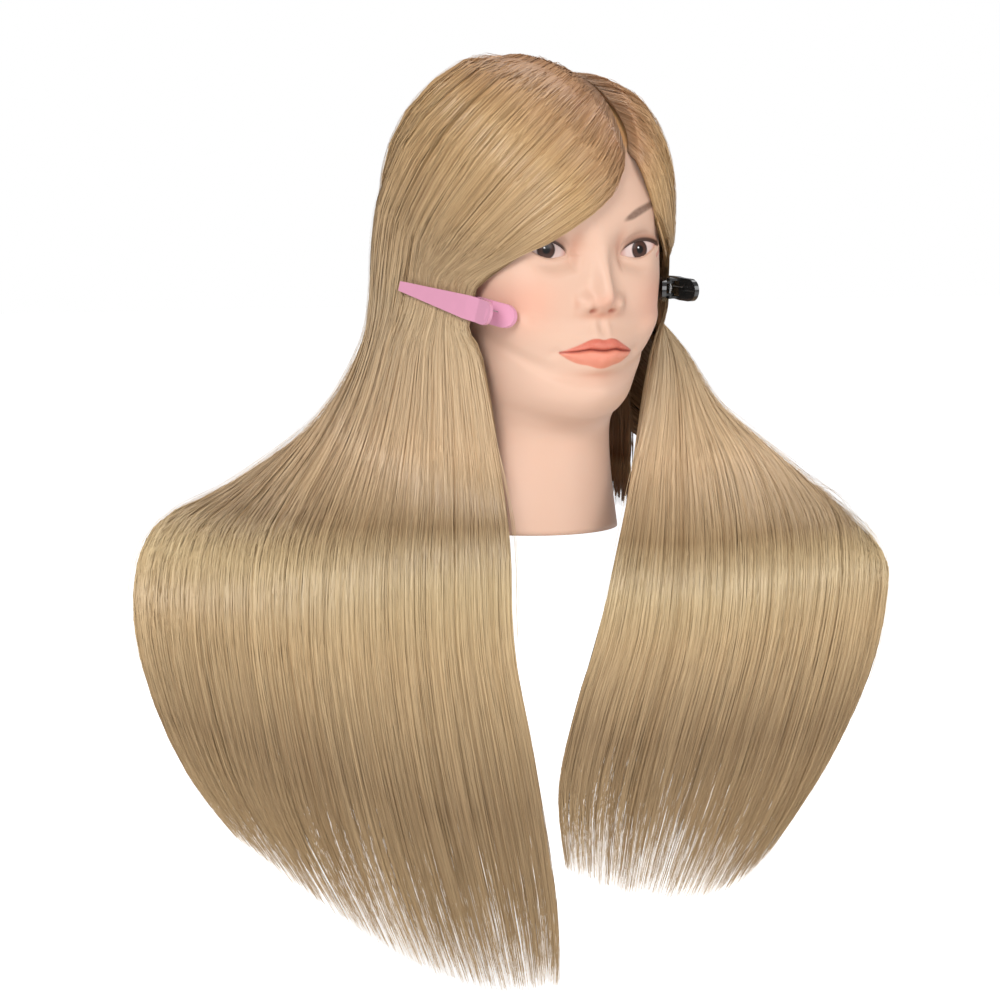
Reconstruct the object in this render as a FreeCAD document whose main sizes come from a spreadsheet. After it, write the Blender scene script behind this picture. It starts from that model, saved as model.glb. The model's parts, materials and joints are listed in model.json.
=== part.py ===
"""Mannequin training head: hollow vinyl head with implanted hair held by two duckbill clips.

Head frame (millimetres): origin at the mouth of the clamp socket, in the plane of the neck's lower
rim. +Z is up the neck, -Y is where the face looks and +X is the mannequin's left.
Hair frame: the same origin and Z, turned by drape_turn about Z, so that both curtains of hair hang
over the front edge of one straight shelf at neck height. Its x runs along the shelf and its -y
points off the shelf, out over that edge.
"""
import FreeCAD, Part
import math
import os

import Sketcher

SIZES = {
    # head shell
    "shell_wall": 3.5, "nose_rise": 14.0, "bridge_rise": 6.0, "lip_rise": 2.2,
    "socket_sink": 4.5, "inner_socket_sink": 3.0,
    "eye_spacing": 68.0, "eye_height": 178.5, "eye_front": 75.5, "eyeball_radius": 13.0,
    "eye_opening_width": 30.0, "eye_opening_height": 11.5, "eye_clearance": 0.3, "eye_depth": 9.0,
    "backing_thickness": 1.3, "backing_gap": 0.2,
    # neck plug
    "plug_base_radius": 52.9, "plug_top_radius": 49.2, "plug_height": 30.0, "plug_skirt": 3.0,
    "plug_floor": 4.0, "socket_radius": 10.5, "socket_depth": 60.0, "socket_wall": 4.0,
    "rib_thickness": 2.5, "rib_height": 26.0, "rib_inner": 13.0, "rib_outer": 47.5, "rib_count": 6,
    # duckbill clips
    "jaw_reach": 68.0, "handle_reach": 20.0, "knee": 5.0, "tip_gap": 1.9, "hinge_gap": 4.4,
    "handle_gap": 9.6, "jaw_tip_height": 3.8, "hinge_height": 7.8, "handle_height": 12.4,
    "tip_half_width": 3.0, "hinge_half_width": 7.2, "dish_half_width": 4.4,
    "dish_start": 6.5, "dish_end": 17.5, "dish_depth": 1.6, "lug_radius": 2.7, "lug_thickness": 1.5,
    "lug_root": 0.5,
    "upper_lug": 5.0, "lower_lug": 3.2, "pin_radius": 1.0, "pin_clearance": 0.06,
    "pin_half_length": 6.9, "tooth_height": 1.2, "tooth_width": 0.9, "tooth_length": 5.6,
    "tooth_root": 1.6, "tooth_pitch": 3.2, "tooth_start": 66.0, "tooth_count": 5,
    "spring_radius": 1.75, "wire_radius": 0.35, "spring_turns": 3, "spring_pitch": 0.95,
    "spring_leg": 11.0, "spring_leg_rise": 2.4,
    # hair
    "drape_turn": 30.0, "lock_gap": 0.04, "under_offset": 8.5,
}

# Midline of the head: each row is one slanted section through the head, as the height and depth of
# its front point, the same for its back point, its half width, how square its front half is, and how
# far its sides rise above its midline.
HEAD_SECTIONS = (
    # front y, front z, back y, back z, half width, squareness, rise of the sides
    (-57.0, 0.0, 57.0, 0.0, 57.0, 2.0, 0.0),
    (-54.0, 24.0, 56.0, 26.0, 54.0, 2.0, 0.0),
    (-52.0, 46.0, 58.0, 52.0, 52.5, 2.0, 0.0),
    (-52.0, 62.0, 62.0, 78.0, 53.0, 2.0, 2.0),
    (-60.0, 70.0, 68.0, 92.0, 54.5, 2.0, 8.0),
    (-72.0, 75.0, 74.0, 106.0, 57.0, 2.0, 14.0),
    (-80.0, 82.0, 80.0, 118.0, 60.0, 2.05, 19.0),
    (-84.0, 91.0, 86.0, 132.0, 63.0, 2.1, 21.0),
    (-82.5, 99.0, 90.0, 146.0, 65.5, 2.2, 20.0),
    (-85.0, 107.0, 93.0, 156.0, 67.5, 2.35, 17.0),
    (-87.5, 117.0, 95.0, 166.0, 69.0, 2.5, 13.0),
    (-88.0, 125.0, 97.0, 175.0, 70.0, 2.6, 9.0),
    (-84.5, 134.0, 98.0, 182.0, 71.0, 2.7, 6.0),
    (-83.5, 144.0, 98.5, 190.0, 72.0, 2.75, 3.0),
    (-83.5, 155.0, 98.5, 197.0, 73.0, 2.75, 1.0),
    (-83.5, 167.0, 98.5, 204.0, 73.5, 2.7, 0.0),
    (-84.5, 179.0, 98.0, 210.0, 74.0, 2.6, 0.0),
    (-86.5, 190.0, 98.0, 215.0, 74.0, 2.5, 0.0),
    (-88.0, 202.0, 98.0, 221.0, 74.0, 2.4, 0.0),
    (-88.0, 216.0, 97.0, 229.0, 74.0, 2.3, 0.0),
    (-84.0, 232.0, 94.0, 239.0, 72.0, 2.2, 0.0),
    (-76.0, 249.0, 89.0, 250.0, 67.5, 2.1, 0.0),
    (-63.0, 265.0, 79.0, 262.0, 59.0, 2.0, 0.0),
    (-45.0, 278.0, 64.0, 274.0, 46.0, 2.0, 0.0),
    (-26.0, 286.5, 46.0, 284.0, 31.0, 2.0, 0.0),
    (-8.0, 290.7, 28.0, 290.0, 16.0, 2.0, 0.0),
)
# Raised and sunken places of the face: middle (across, up) and spread (across, up).
NOSE_TIP = ((0.0, 149.0), (10.0, 9.0))
NOSE_BRIDGE = ((0.0, 166.0), (7.5, 14.0))
LIPS = ((0.0, 116.0), (20.0, 8.0))
INNER_SOCKET = ((17.0, 181.0), (8.0, 8.0))
SOCKET_SPREAD = (17.0, 9.0)
# The prisms that open the eyes start in front of the face and end inside the shell.
EYE_CUT_FRONT = -110.0
EYE_CUT_DEPTH = 50.0
FIRST_BACKING_SECTION = 19
SECTION_POINTS = 40
SECTION_STEPS = 2
CROWN_STEPS = 8

# Clips: tip and handle end of the clip's centre line, and the way its upper half faces, head frame.
PINK_CLIP = {"tip": (-91.2, 9.9, 156.5), "handle": (-65.4, -78.1, 138.5), "facing": (-0.9, -0.4, 0.1)}
BLACK_CLIP = {"tip": (92.0, 16.0, 159.0), "handle": (69.2, -69.9, 152.0), "facing": (0.95, -0.25, 0.0)}

# Guide strands, hair frame, at quarters of each side from its face edge (first) to the back (last).
# The three strands nearest the face pass between the jaws of that side's clip, so between "above"
# and "below" they have no points of their own.
ABOVE = (
    # root on the parting, crown, upper side, temple
    {"right": ((54, -62, 238), (44, -79, 211), (19, -89, 190), (-9, -89, 174)),
     "left": ((60, -53, 239), (67, -57, 223), (77, -46, 201), (84, -34, 182))},
    {"right": ((45, -41, 270), (26, -85, 238), (-5, -92, 208), (-34, -87, 180)),
     "left": ((50, -36, 269), (67, -43, 248), (84, -29, 215), (88, -10, 187))},
    {"right": ((29, -12, 289), (-4, -69, 266), (-38, -76, 229), (-64, -60, 190)),
     "left": ((33, -6, 287), (66, -6, 265), (83, 18, 228), (82, 42, 193))},
)
BEHIND = (
    {"right": ((10, 20, 296), (-38, -24, 285), (-74, -20, 256), (-93, -6, 216), (-99, 8, 188),
               (-101, 18, 165), (-103, 28, 141)),
     "left": ((14, 26, 294), (48, 36, 282), (58, 68, 250), (44, 88, 210), (42, 91, 178),
              (48, 91, 158), (60, 89, 139))},
    {"right": ((-8, 52, 290), (-31, 70, 274), (-51, 90, 238), (-57, 95, 205), (-59, 96, 182),
               (-62, 96, 160), (-68, 95, 141)),
     "left": ((-5, 59, 287), (-21, 76, 270), (-40, 96, 236), (-46, 100, 205), (-44, 100, 178),
              (-36, 101, 158), (-22, 101, 139))},
)
BELOW = (
    {"right": ((-32, -75, 115), (-26, -66, 84), (-21, -58, 50), (-16, -62, 17), (-13, -76, -12),
               (-11, -84, -68), (2, -84, -137), (16, -82, -228), (18, -80, -284)),
     "left": ((80, -6, 116), (73, -14, 79), (66, -28, 43), (58, -56, 10), (50, -78, -20),
              (42, -84, -58), (29, -84, -99), (17, -82, -157), (22, -80, -209))},
    {"right": ((-61, -59, 117), (-62, -52, 84), (-64, -49, 50), (-66, -58, 16), (-68, -74, -13),
               (-67, -84, -68), (-57, -86, -143), (-38, -84, -227), (-23, -80, -287)),
     "left": ((92, 20, 112), (96, 4, 76), (98, -20, 41), (98, -56, 8), (96, -78, -22),
              (92, -85, -60), (80, -85, -108), (66, -84, -165), (58, -80, -224))},
    {"right": ((-84, -36, 118), (-92, -26, 83), (-102, -26, 48), (-113, -44, 15), (-121, -68, -13),
               (-122, -82, -62), (-114, -85, -124), (-96, -84, -201), (-71, -80, -271)),
     "left": ((102, 46, 110), (121, 32, 74), (146, 4, 41), (156, -46, 12), (157, -74, -14),
              (153, -84, -52), (142, -84, -102), (124, -82, -162), (98, -80, -228))},
    {"right": ((-108, 36, 117), (-124, 38, 83), (-146, 26, 49), (-172, -10, 17), (-187, -56, -5),
               (-189, -78, -48), (-181, -82, -106), (-164, -82, -170), (-130, -80, -232)),
     "left": ((84, 83, 110), (116, 70, 74), (160, 34, 41), (193, -34, 15), (199, -68, -8),
              (195, -78, -44), (184, -81, -95), (164, -80, -157), (130, -78, -218))},
    {"right": ((-84, 90, 116), (-114, 80, 84), (-154, 60, 50), (-200, 12, 21), (-238, -38, 3),
               (-248, -68, -34), (-240, -74, -88), (-216, -76, -146), (-183, -76, -191)),
     "left": ((12, 100, 110), (46, 96, 76), (92, 80, 43), (176, 10, 19), (217, -58, -8),
              (220, -70, -38), (210, -74, -84), (186, -76, -138), (152, -76, -192))},
)
LOCK_THICKNESS = (4.0, 6.5, 7.5, 6.5, 3.2, 2.4, 3.2, 7.0, 8.0, 8.0, 8.0, 8.5, 8.5, 8.5, 7.0, 4.0)
ALL_ROWS = (0, len(LOCK_THICKNESS))
CLIP_ROWS = (4, 5, 6)
CLIP_ROW_DROP = (-14.0, 0.0, 14.0)
LOCKS = {"front": (0.0, 0.5), "side": (0.56, 0.735), "back": (0.79, 1.0)}
# Scalp as an ellipsoid on an upright elliptic cylinder, and how far the hair's net keeps off it.
SCALP_CENTRE = (0.0, 6.0, 212.0)
SCALP_RADII = (74.0, 92.0, 83.0)
SCALP_SQUARENESS = 2.5
SCALP_CLEARANCE = (8.5, 16.0, 15.6, 14.2, 13.5, 13.5, 12.5)
FACE_CLEARANCE = (7.0, 9.5, 10.0, 9.5, 9.0, 9.0, 9.0)
LOWEST_SCALP = 125.0
FACE_EDGE = 0.15
UNDER_SPAN = (0.56, 0.97)
UNDER_ROWS = (3, 14)
UNDER_THICKNESS = 3.5
CLIP_GRIP = (6.0, 59.0)
# Control points of the springs: around the wire, along a leg and along one turn of the coil.
WIRE_SIDES = 8
LEG_STEPS = 4
TURN_STEPS = 16


def make_sheet(document):
    """Put every driving dimension in a spreadsheet cell with its own name."""
    sheet = document.addObject("Spreadsheet::Sheet", "sizes")
    for row, (alias, number) in enumerate(SIZES.items(), start=1):
        sheet.set(f"A{row}", alias)
        sheet.set(f"B{row}", str(number))
        sheet.setAlias(f"B{row}", alias)
    document.recompute()
    return sheet


DOCUMENT = FreeCAD.newDocument("training_head")
SHEET = make_sheet(DOCUMENT)


def size(alias):
    """One driving dimension, as the sheet holds it."""
    return float(SHEET.get(alias))


def total(terms):
    """Sum of signed cell names such as ("plug_floor", "-shell_wall")."""
    return sum(-size(term[1:]) if term.startswith("-") else size(term) for term in terms)


def formula(terms):
    """The same sum as an expression that stays bound to the sheet."""
    parts = [f"-sizes.{term[1:]}" if term.startswith("-") else f"+sizes.{term}" for term in terms]
    return "0" + "".join(parts)


def bind(thing, **bindings):
    """Bind properties to the sheet: bind(pad, Length="plug_height")."""
    for name, alias in bindings.items():
        thing.setExpression(name, f"sizes.{alias}")


# ---------------------------------------------------------------- PartDesign helpers

def new_body(label):
    body = DOCUMENT.addObject("PartDesign::Body", label)
    body.Label = label
    return body


def origin_plane(body, role):
    return next(feature for feature in body.Origin.OriginFeatures if feature.Role == role)


def outline(body, name, role, *loops, offset=0.0):
    """Closed sketch of one or more loops, each corner fixed by signed sums of named sizes.

    A loop is its corners in order, anticlockwise where it holds an arc; a corner with a third entry
    starts a half circle whose centre that entry places along the sketch's first axis.
    """
    sketch = body.newObject("Sketcher::SketchObject", name)
    sketch.AttachmentSupport = (origin_plane(body, role), [""])
    sketch.MapMode = "FlatFace"
    sketch.AttachmentOffset = FreeCAD.Placement(FreeCAD.Vector(0, 0, offset), FreeCAD.Rotation())
    for corners in loops:
        add_loop(sketch, corners)
    return sketch


def add_loop(sketch, corners):
    first = sketch.GeometryCount
    points = [FreeCAD.Vector(total(corner[0]), total(corner[1]), 0) for corner in corners]
    count = len(points)
    for index, corner in enumerate(corners):
        start, end = points[index], points[(index + 1) % count]
        if len(corner) == 3:
            centre = (start + end) * 0.5
            circle = Part.Circle(centre, FreeCAD.Vector(0, 0, 1), start.distanceToPoint(end) / 2)
            angle = math.atan2(start.y - centre.y, start.x - centre.x)
            sketch.addGeometry(Part.ArcOfCircle(circle, angle, angle + math.pi), False)
            fix(sketch, first + index, 3, corner[2], ())
        else:
            sketch.addGeometry(Part.LineSegment(start, end), False)
    for index in range(count):
        following = first + (index + 1) % count
        sketch.addConstraint(Sketcher.Constraint("Coincident", first + index, 2, following, 1))
    for index, corner in enumerate(corners):
        fix(sketch, first + index, 1, corner[0], corner[1])


def fix(sketch, geometry, point, across, up):
    """Tie one sketch point to the sketch's axes by signed sums of named sizes."""
    for kind, terms, axis in (("DistanceX", across, -2), ("DistanceY", up, -1)):
        if terms:
            constraint = Sketcher.Constraint(kind, -1, 1, geometry, point, total(terms))
            number = sketch.addConstraint(constraint)
            sketch.setExpression(f"Constraints[{number}]", formula(terms))
        elif not (point == 3 and kind == "DistanceY"):
            sketch.addConstraint(Sketcher.Constraint("PointOnObject", geometry, point, axis))


def disc(body, name, role, radius, offset=0.0):
    """Sketch of one circle whose radius is bound to a named size."""
    sketch = body.newObject("Sketcher::SketchObject", name)
    sketch.AttachmentSupport = (origin_plane(body, role), [""])
    sketch.MapMode = "FlatFace"
    sketch.AttachmentOffset = FreeCAD.Placement(FreeCAD.Vector(0, 0, offset), FreeCAD.Rotation())
    circle = Part.Circle(FreeCAD.Vector(0, 0, 0), FreeCAD.Vector(0, 0, 1), total(radius))
    sketch.addGeometry(circle, False)
    number = sketch.addConstraint(Sketcher.Constraint("Radius", 0, total(radius)))
    sketch.setExpression(f"Constraints[{number}]", formula(radius))
    return sketch


def pad(body, name, sketch, length, both_ways=False):
    feature = body.newObject("PartDesign::Pad", name)
    feature.Profile = sketch
    feature.Length = total(length)
    feature.setExpression("Length", formula(length))
    feature.Midplane = both_ways
    return feature


def pocket(body, name, sketch, length, both_ways=False):
    feature = body.newObject("PartDesign::Pocket", name)
    feature.Profile = sketch
    feature.Length = total(length)
    feature.setExpression("Length", formula(length))
    feature.Midplane = both_ways
    return feature


def clamped(count, degree):
    """Knot multiplicities and knots of a clamped even spline with that many control points."""
    spans = count - degree
    return [degree + 1] + [1] * (spans - 1) + [degree + 1], [float(knot) for knot in range(spans + 1)]


# ---------------------------------------------------------------- head shell

def smooth_row(rows, position):
    """Catmull-Rom value between the rows of a table."""
    index = min(int(position), len(rows) - 2)
    part = position - index
    before = rows[max(index - 1, 0)]
    after = rows[min(index + 2, len(rows) - 1)]
    return tuple(
        0.5 * (2 * b + (c - a) * part + (2 * a - 5 * b + 4 * c - d) * part ** 2
               + (3 * b - a - 3 * c + d) * part ** 3)
        for a, b, c, d in zip(before, rows[index], rows[index + 1], after))


def bell(across, up, centre, spread):
    """Bell of height 1 around a point of the face, seen from the front."""
    return math.exp(-((across - centre[0]) / spread[0]) ** 2 - ((up - centre[1]) / spread[1]) ** 2)


def face_relief(across, up):
    """How far nose, brows, eye sockets and lips stand forward of the plain sections."""
    side = abs(across)
    socket = (size("eye_spacing") / 2, size("eye_height"))
    raised = size("nose_rise") * bell(side, up, *NOSE_TIP)
    raised += size("bridge_rise") * bell(side, up, *NOSE_BRIDGE)
    raised += size("lip_rise") * bell(side, up, *LIPS)
    sunken = size("socket_sink") * bell(side, up, socket, SOCKET_SPREAD)
    sunken += size("inner_socket_sink") * bell(side, up, *INNER_SOCKET)
    return raised - sunken


def section_points(row, inset, relief):
    """Control points around the head in one slanted section, moved inwards by inset."""
    front_y, front_z, back_y, back_z, half_width, squareness, rise = row
    middle_y, middle_z = (front_y + back_y) / 2, (front_z + back_z) / 2
    length = math.hypot(back_y - front_y, back_z - front_z) / 2
    slope_y, slope_z = (back_y - front_y) / 2 / length, (back_z - front_z) / 2 / length
    reach, width = length - inset, half_width - inset
    points = []
    for index in range(SECTION_POINTS):
        angle = 2 * math.pi * index / SECTION_POINTS
        power = 2 / squareness if math.cos(angle) < 0 else 1.0
        along = math.copysign(abs(math.cos(angle)) ** power, math.cos(angle)) * reach
        across = math.copysign(abs(math.sin(angle)) ** power, math.sin(angle)) * width
        y = middle_y + slope_y * along
        z = middle_z + slope_z * along + rise * (across / half_width) ** 2
        if relief and y < 0:
            y -= face_relief(across, z)
        points.append(FreeCAD.Vector(across, y, z))
    return points


def head_skin(inset, relief=False, first=0):
    """Skin through the head's sections from one of them to the crown: its base wire and faces."""
    net = []
    steps = (len(HEAD_SECTIONS) - 1 - first) * SECTION_STEPS
    for step in range(steps + 1):
        row = smooth_row(HEAD_SECTIONS, first + step / SECTION_STEPS)
        lowered = inset * min(1.0, max(0.0, 1 - (steps - step) / CROWN_STEPS))
        row = (row[0], row[1] - lowered, row[2], row[3] - lowered, *row[4:])
        net.append(section_points(row, inset, relief))
    up_mults, up_knots = clamped(len(net), 3)
    around_knots = [float(knot) for knot in range(SECTION_POINTS + 1)]
    surface = Part.BSplineSurface()
    surface.buildFromPolesMultsKnots(net, up_mults, [1] * (SECTION_POINTS + 1), up_knots, around_knots,
                                     False, True, 3, 3)
    base, top = (Part.Wire([surface.uIso(knot).toShape()]) for knot in (up_knots[0], up_knots[-1]))
    return base, [surface.toShape(), Part.Face(top)]


def hollow_head(outer, inner, relief=False, first=0):
    """Closed solid between two skins of the head, open below its first section."""
    outer_base, outer_faces = head_skin(outer, relief, first)
    inner_base, inner_faces = head_skin(inner, False, first)
    inner_base.reverse()
    rim = Part.Face([outer_base, inner_base])
    shell = Part.makeShell(outer_faces + inner_faces + [rim])
    shell.sewShape()
    solid = Part.makeSolid(shell)
    if solid.Volume < 0:
        solid.reverse()
    return solid


def eye_centre(side):
    return FreeCAD.Vector(side * size("eye_spacing") / 2, -size("eye_front") + size("eyeball_radius"),
                          size("eye_height"))


def eye_opening(side):
    """Almond-shaped prism through the shell: where two discs overlap, seen from the front."""
    width, height = size("eye_opening_width"), size("eye_opening_height")
    radius = (width ** 2 / 4 + height ** 2 / 4) / height
    centre = eye_centre(side)
    discs = []
    for sign in (-1, 1):
        base = FreeCAD.Vector(centre.x, EYE_CUT_FRONT, centre.z + sign * (radius - height / 2))
        discs.append(Part.makeCylinder(radius, EYE_CUT_DEPTH, base, FreeCAD.Vector(0, 1, 0)))
    return discs[0].common(discs[1])


def head_shell():
    """One moulded vinyl skin from the neck's rim to the crown, open at the neck."""
    shape = hollow_head(0.0, size("shell_wall"), relief=True)
    for side in (-1, 1):
        seat = Part.makeSphere(size("eyeball_radius") + size("eye_clearance"), eye_centre(side))
        shape = shape.cut(seat).cut(eye_opening(side))
    shell = DOCUMENT.addObject("Part::Feature", "head_shell")
    shell.Label = "head_shell"
    shell.Shape = max(shape.Solids, key=lambda solid: solid.Volume)
    return shell


def root_backing():
    """Thin glue and foam layer inside the scalp that locks the knots of the implanted hair."""
    outer = size("shell_wall") + size("backing_gap")
    inner = outer + size("backing_thickness")
    backing = DOCUMENT.addObject("Part::Feature", "root_backing")
    backing.Label = "root_backing"
    backing.Shape = hollow_head(outer, inner, first=FIRST_BACKING_SECTION)
    return backing


def eye(label, side):
    """Glossy eye insert: a cap of a ball, flat at the back, its axis towards the front."""
    ball = DOCUMENT.addObject("Part::Sphere", label)
    ball.Label = label
    bind(ball, Radius="eyeball_radius")
    ball.setExpression("Angle1", "asin(1 - sizes.eye_depth / sizes.eyeball_radius)")
    ball.Placement = FreeCAD.Placement(eye_centre(side), FreeCAD.Rotation(FreeCAD.Vector(1, 0, 0), 90))
    return ball


# ---------------------------------------------------------------- neck plug

def neck_plug():
    """Moulded plug bonded in the neck: skirt, floor, ribs and the blind socket for a table clamp."""
    body = new_body("neck_plug")
    corners = (
        (("socket_radius",), ()),
        (("socket_radius",), ("socket_depth",)),
        ((), ("socket_depth",)),
        ((), ("socket_depth", "socket_wall")),
        (("socket_radius", "socket_wall"), ("socket_depth", "socket_wall")),
        (("socket_radius", "socket_wall"), ("plug_floor",)),
        (("plug_base_radius", "-plug_skirt"), ("plug_floor",)),
        (("plug_top_radius", "-plug_skirt"), ("plug_height",)),
        (("plug_top_radius",), ("plug_height",)),
        (("plug_base_radius",), ()),
    )
    profile = outline(body, "plug_profile", "XZ_Plane", corners)
    turned = body.newObject("PartDesign::Revolution", "plug_turned")
    turned.Profile = profile
    turned.ReferenceAxis = (profile, ["V_Axis"])
    turned.Angle = 360.0
    rib_corners = (
        (("rib_inner",), ("plug_floor", "-rib_thickness")),
        (("rib_outer",), ("plug_floor", "-rib_thickness")),
        (("rib_outer",), ("rib_height",)),
        (("rib_inner",), ("rib_height", "rib_height")),
    )
    rib_sketch = outline(body, "rib_profile", "XZ_Plane", rib_corners)
    rib = pad(body, "rib", rib_sketch, ("rib_thickness",), both_ways=True)
    DOCUMENT.recompute()
    ring = body.newObject("PartDesign::PolarPattern", "ribs")
    ring.Originals = [rib]
    ring.Axis = (profile, ["V_Axis"])
    ring.Angle = 360.0
    ring.Occurrences = int(size("rib_count"))
    ring.setExpression("Occurrences", "sizes.rib_count")
    body.Tip = ring
    return body


# ---------------------------------------------------------------- duckbill clips

def clip_axes(clip):
    """Hinge point and the clip's own axes: x to the handle, y along the pin, z out of its top."""
    tip, handle = FreeCAD.Vector(*clip["tip"]), FreeCAD.Vector(*clip["handle"])
    along = (handle - tip).normalize()
    facing = FreeCAD.Vector(*clip["facing"])
    out = (facing - along * facing.dot(along)).normalize()
    across = out.cross(along)
    hinge = handle - along * size("handle_reach")
    return hinge, along, across, out


def clip_placement(clip, turned_over=False):
    hinge, along, across, out = clip_axes(clip)
    if turned_over:
        across, out = across * -1, out * -1
    matrix = FreeCAD.Matrix(
        along.x, across.x, out.x, hinge.x,
        along.y, across.y, out.y, hinge.y,
        along.z, across.z, out.z, hinge.z,
        0, 0, 0, 1)
    return FreeCAD.Placement(matrix)


def clip_half(label, lug_alias, placement):
    """One half of a clip: straight toothed jaw, hinge lugs and a flared, dished finger pad."""
    body = new_body(label)
    side_view = (
        (("-jaw_reach",), ("tip_gap",)),
        (("-knee",), ("hinge_gap",)),
        (("knee",), ("hinge_gap",)),
        (("handle_reach",), ("handle_gap",)),
        (("handle_reach",), ("handle_height",)),
        (("knee",), ("hinge_height",)),
        (("-knee",), ("hinge_height",)),
        (("-jaw_reach",), ("jaw_tip_height",)),
    )
    blank_sketch = outline(body, label + "_side", "XZ_Plane", side_view)
    pad(body, label + "_blank", blank_sketch, ("hinge_half_width", "hinge_half_width"), both_ways=True)
    round_start = ("handle_reach", "-hinge_half_width")
    plan = (
        (("-jaw_reach",), ("-tip_half_width",)),
        (("-knee",), ("-hinge_half_width",)),
        (round_start, ("-hinge_half_width",), round_start),
        (round_start, ("hinge_half_width",)),
        (("-knee",), ("hinge_half_width",)),
        (("-jaw_reach",), ("tip_half_width",)),
    )
    around = (
        (("-jaw_reach", "-knee"), ("-hinge_half_width", "-knee")),
        (("handle_reach", "knee"), ("-hinge_half_width", "-knee")),
        (("handle_reach", "knee"), ("hinge_half_width", "knee")),
        (("-jaw_reach", "-knee"), ("hinge_half_width", "knee")),
    )
    plan_sketch = outline(body, label + "_plan", "XY_Plane", around, plan)
    pocket(body, label + "_trim", plan_sketch, ("handle_reach", "handle_reach"), both_ways=True)
    DOCUMENT.recompute()
    add_dish(body, label)
    add_lugs(body, label, lug_alias)
    add_teeth(body, label)
    body.Placement = placement
    return body


def add_dish(body, label):
    """Shallow thumb recess in the outside of the finger pad, sunk from above its highest point."""
    round_start = ("dish_end", "-dish_half_width")
    corners = (
        (("dish_start",), ("-dish_half_width",)),
        (round_start, ("-dish_half_width",), round_start),
        (round_start, ("dish_half_width",)),
        (("dish_start",), ("dish_half_width",)),
    )
    sketch = outline(body, label + "_dish", "XY_Plane", corners, offset=size("handle_height"))
    pocket(body, label + "_dish_cut", sketch, ("dish_depth",))
    DOCUMENT.recompute()


def add_lugs(body, label, lug_alias):
    """Two ears that carry the hinge pin, and the pin hole through them."""
    for sign in (-1, 1):
        name = label + ("_lug_left" if sign > 0 else "_lug_right")
        corners = (
            (("-lug_radius",), ()),
            (("lug_radius",), ()),
            (("lug_radius",), ("hinge_gap", "lug_root")),
            (("-lug_radius",), ("hinge_gap", "lug_root")),
        )
        middle = sign * (size(lug_alias) + size("lug_thickness") / 2)
        web = outline(body, name, "XZ_Plane", corners, offset=-middle)
        pad(body, name + "_web", web, ("lug_thickness",), both_ways=True)
        boss = disc(body, name + "_disc", "XZ_Plane", ("lug_radius",), offset=-middle)
        pad(body, name + "_boss", boss, ("lug_thickness",), both_ways=True)
        DOCUMENT.recompute()
    hole = disc(body, label + "_pin_hole", "XZ_Plane", ("pin_radius", "pin_clearance"))
    length = ("hinge_half_width", "hinge_half_width", "knee")
    pocket(body, label + "_pin_cut", hole, length, both_ways=True)
    DOCUMENT.recompute()


def add_teeth(body, label):
    """Row of low cross ribs on the inside of the jaw, stepping towards the tip."""
    corners = (
        (("-tooth_start",), ("tooth_root",)),
        (("-tooth_start", "tooth_width"), ("tooth_root",)),
        (("-tooth_start", "tooth_width"), ("tooth_root", "tooth_height")),
        (("-tooth_start",), ("tooth_root", "tooth_height")),
    )
    sketch = outline(body, label + "_tooth", "XZ_Plane", corners)
    tooth = pad(body, label + "_tooth_pad", sketch, ("tooth_length",), both_ways=True)
    DOCUMENT.recompute()
    row = body.newObject("PartDesign::LinearPattern", label + "_teeth")
    row.Originals = [tooth]
    row.Direction = (sketch, ["H_Axis"])
    row.Length = size("tooth_pitch") * (size("tooth_count") - 1)
    row.setExpression("Length", "sizes.tooth_pitch * (sizes.tooth_count - 1)")
    row.setExpression("Occurrences", "sizes.tooth_count")
    body.Tip = row


def hinge_pin(label, clip):
    """Steel pin through all four lugs."""
    pin = DOCUMENT.addObject("Part::Cylinder", label)
    pin.Label = label
    bind(pin, Radius="pin_radius")
    pin.setExpression("Height", "2 * sizes.pin_half_length")
    local = FreeCAD.Placement(FreeCAD.Vector(0, size("pin_half_length"), 0),
                              FreeCAD.Rotation(FreeCAD.Vector(1, 0, 0), 90))
    pin.Placement = clip_placement(clip).multiply(local)
    return pin


def round_wire(path, radius):
    """Closed solid of round wire along a path of control points."""
    swell = 6 / (4 + 2 * math.cos(2 * math.pi / WIRE_SIDES))
    normal = FreeCAD.Vector(0, 1, 0)
    net = []
    for index, point in enumerate(path):
        tangent = (path[min(index + 1, len(path) - 1)] - path[max(index - 1, 0)]).normalize()
        normal = (normal - tangent * normal.dot(tangent)).normalize()
        other = tangent.cross(normal)
        ring = []
        for side in range(WIRE_SIDES):
            angle = 2 * math.pi * side / WIRE_SIDES
            ring.append(point + (normal * math.cos(angle) + other * math.sin(angle)) * (radius * swell))
        net.append(ring)
    along_mults, along_knots = clamped(len(net), 3)
    around_knots = [float(knot) for knot in range(WIRE_SIDES + 1)]
    surface = Part.BSplineSurface()
    surface.buildFromPolesMultsKnots(net, along_mults, [1] * (WIRE_SIDES + 1), along_knots, around_knots,
                                     False, True, 3, 3)
    rings = [surface.uIso(knot).toShape() for knot in (along_knots[0], along_knots[-1])]
    ends = [Part.Face(Part.Wire([ring])) for ring in rings]
    shell = Part.makeShell([surface.toShape()] + ends)
    shell.sewShape()
    solid = Part.makeSolid(shell)
    if solid.Volume < 0:
        solid.reverse()
    return solid


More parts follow.
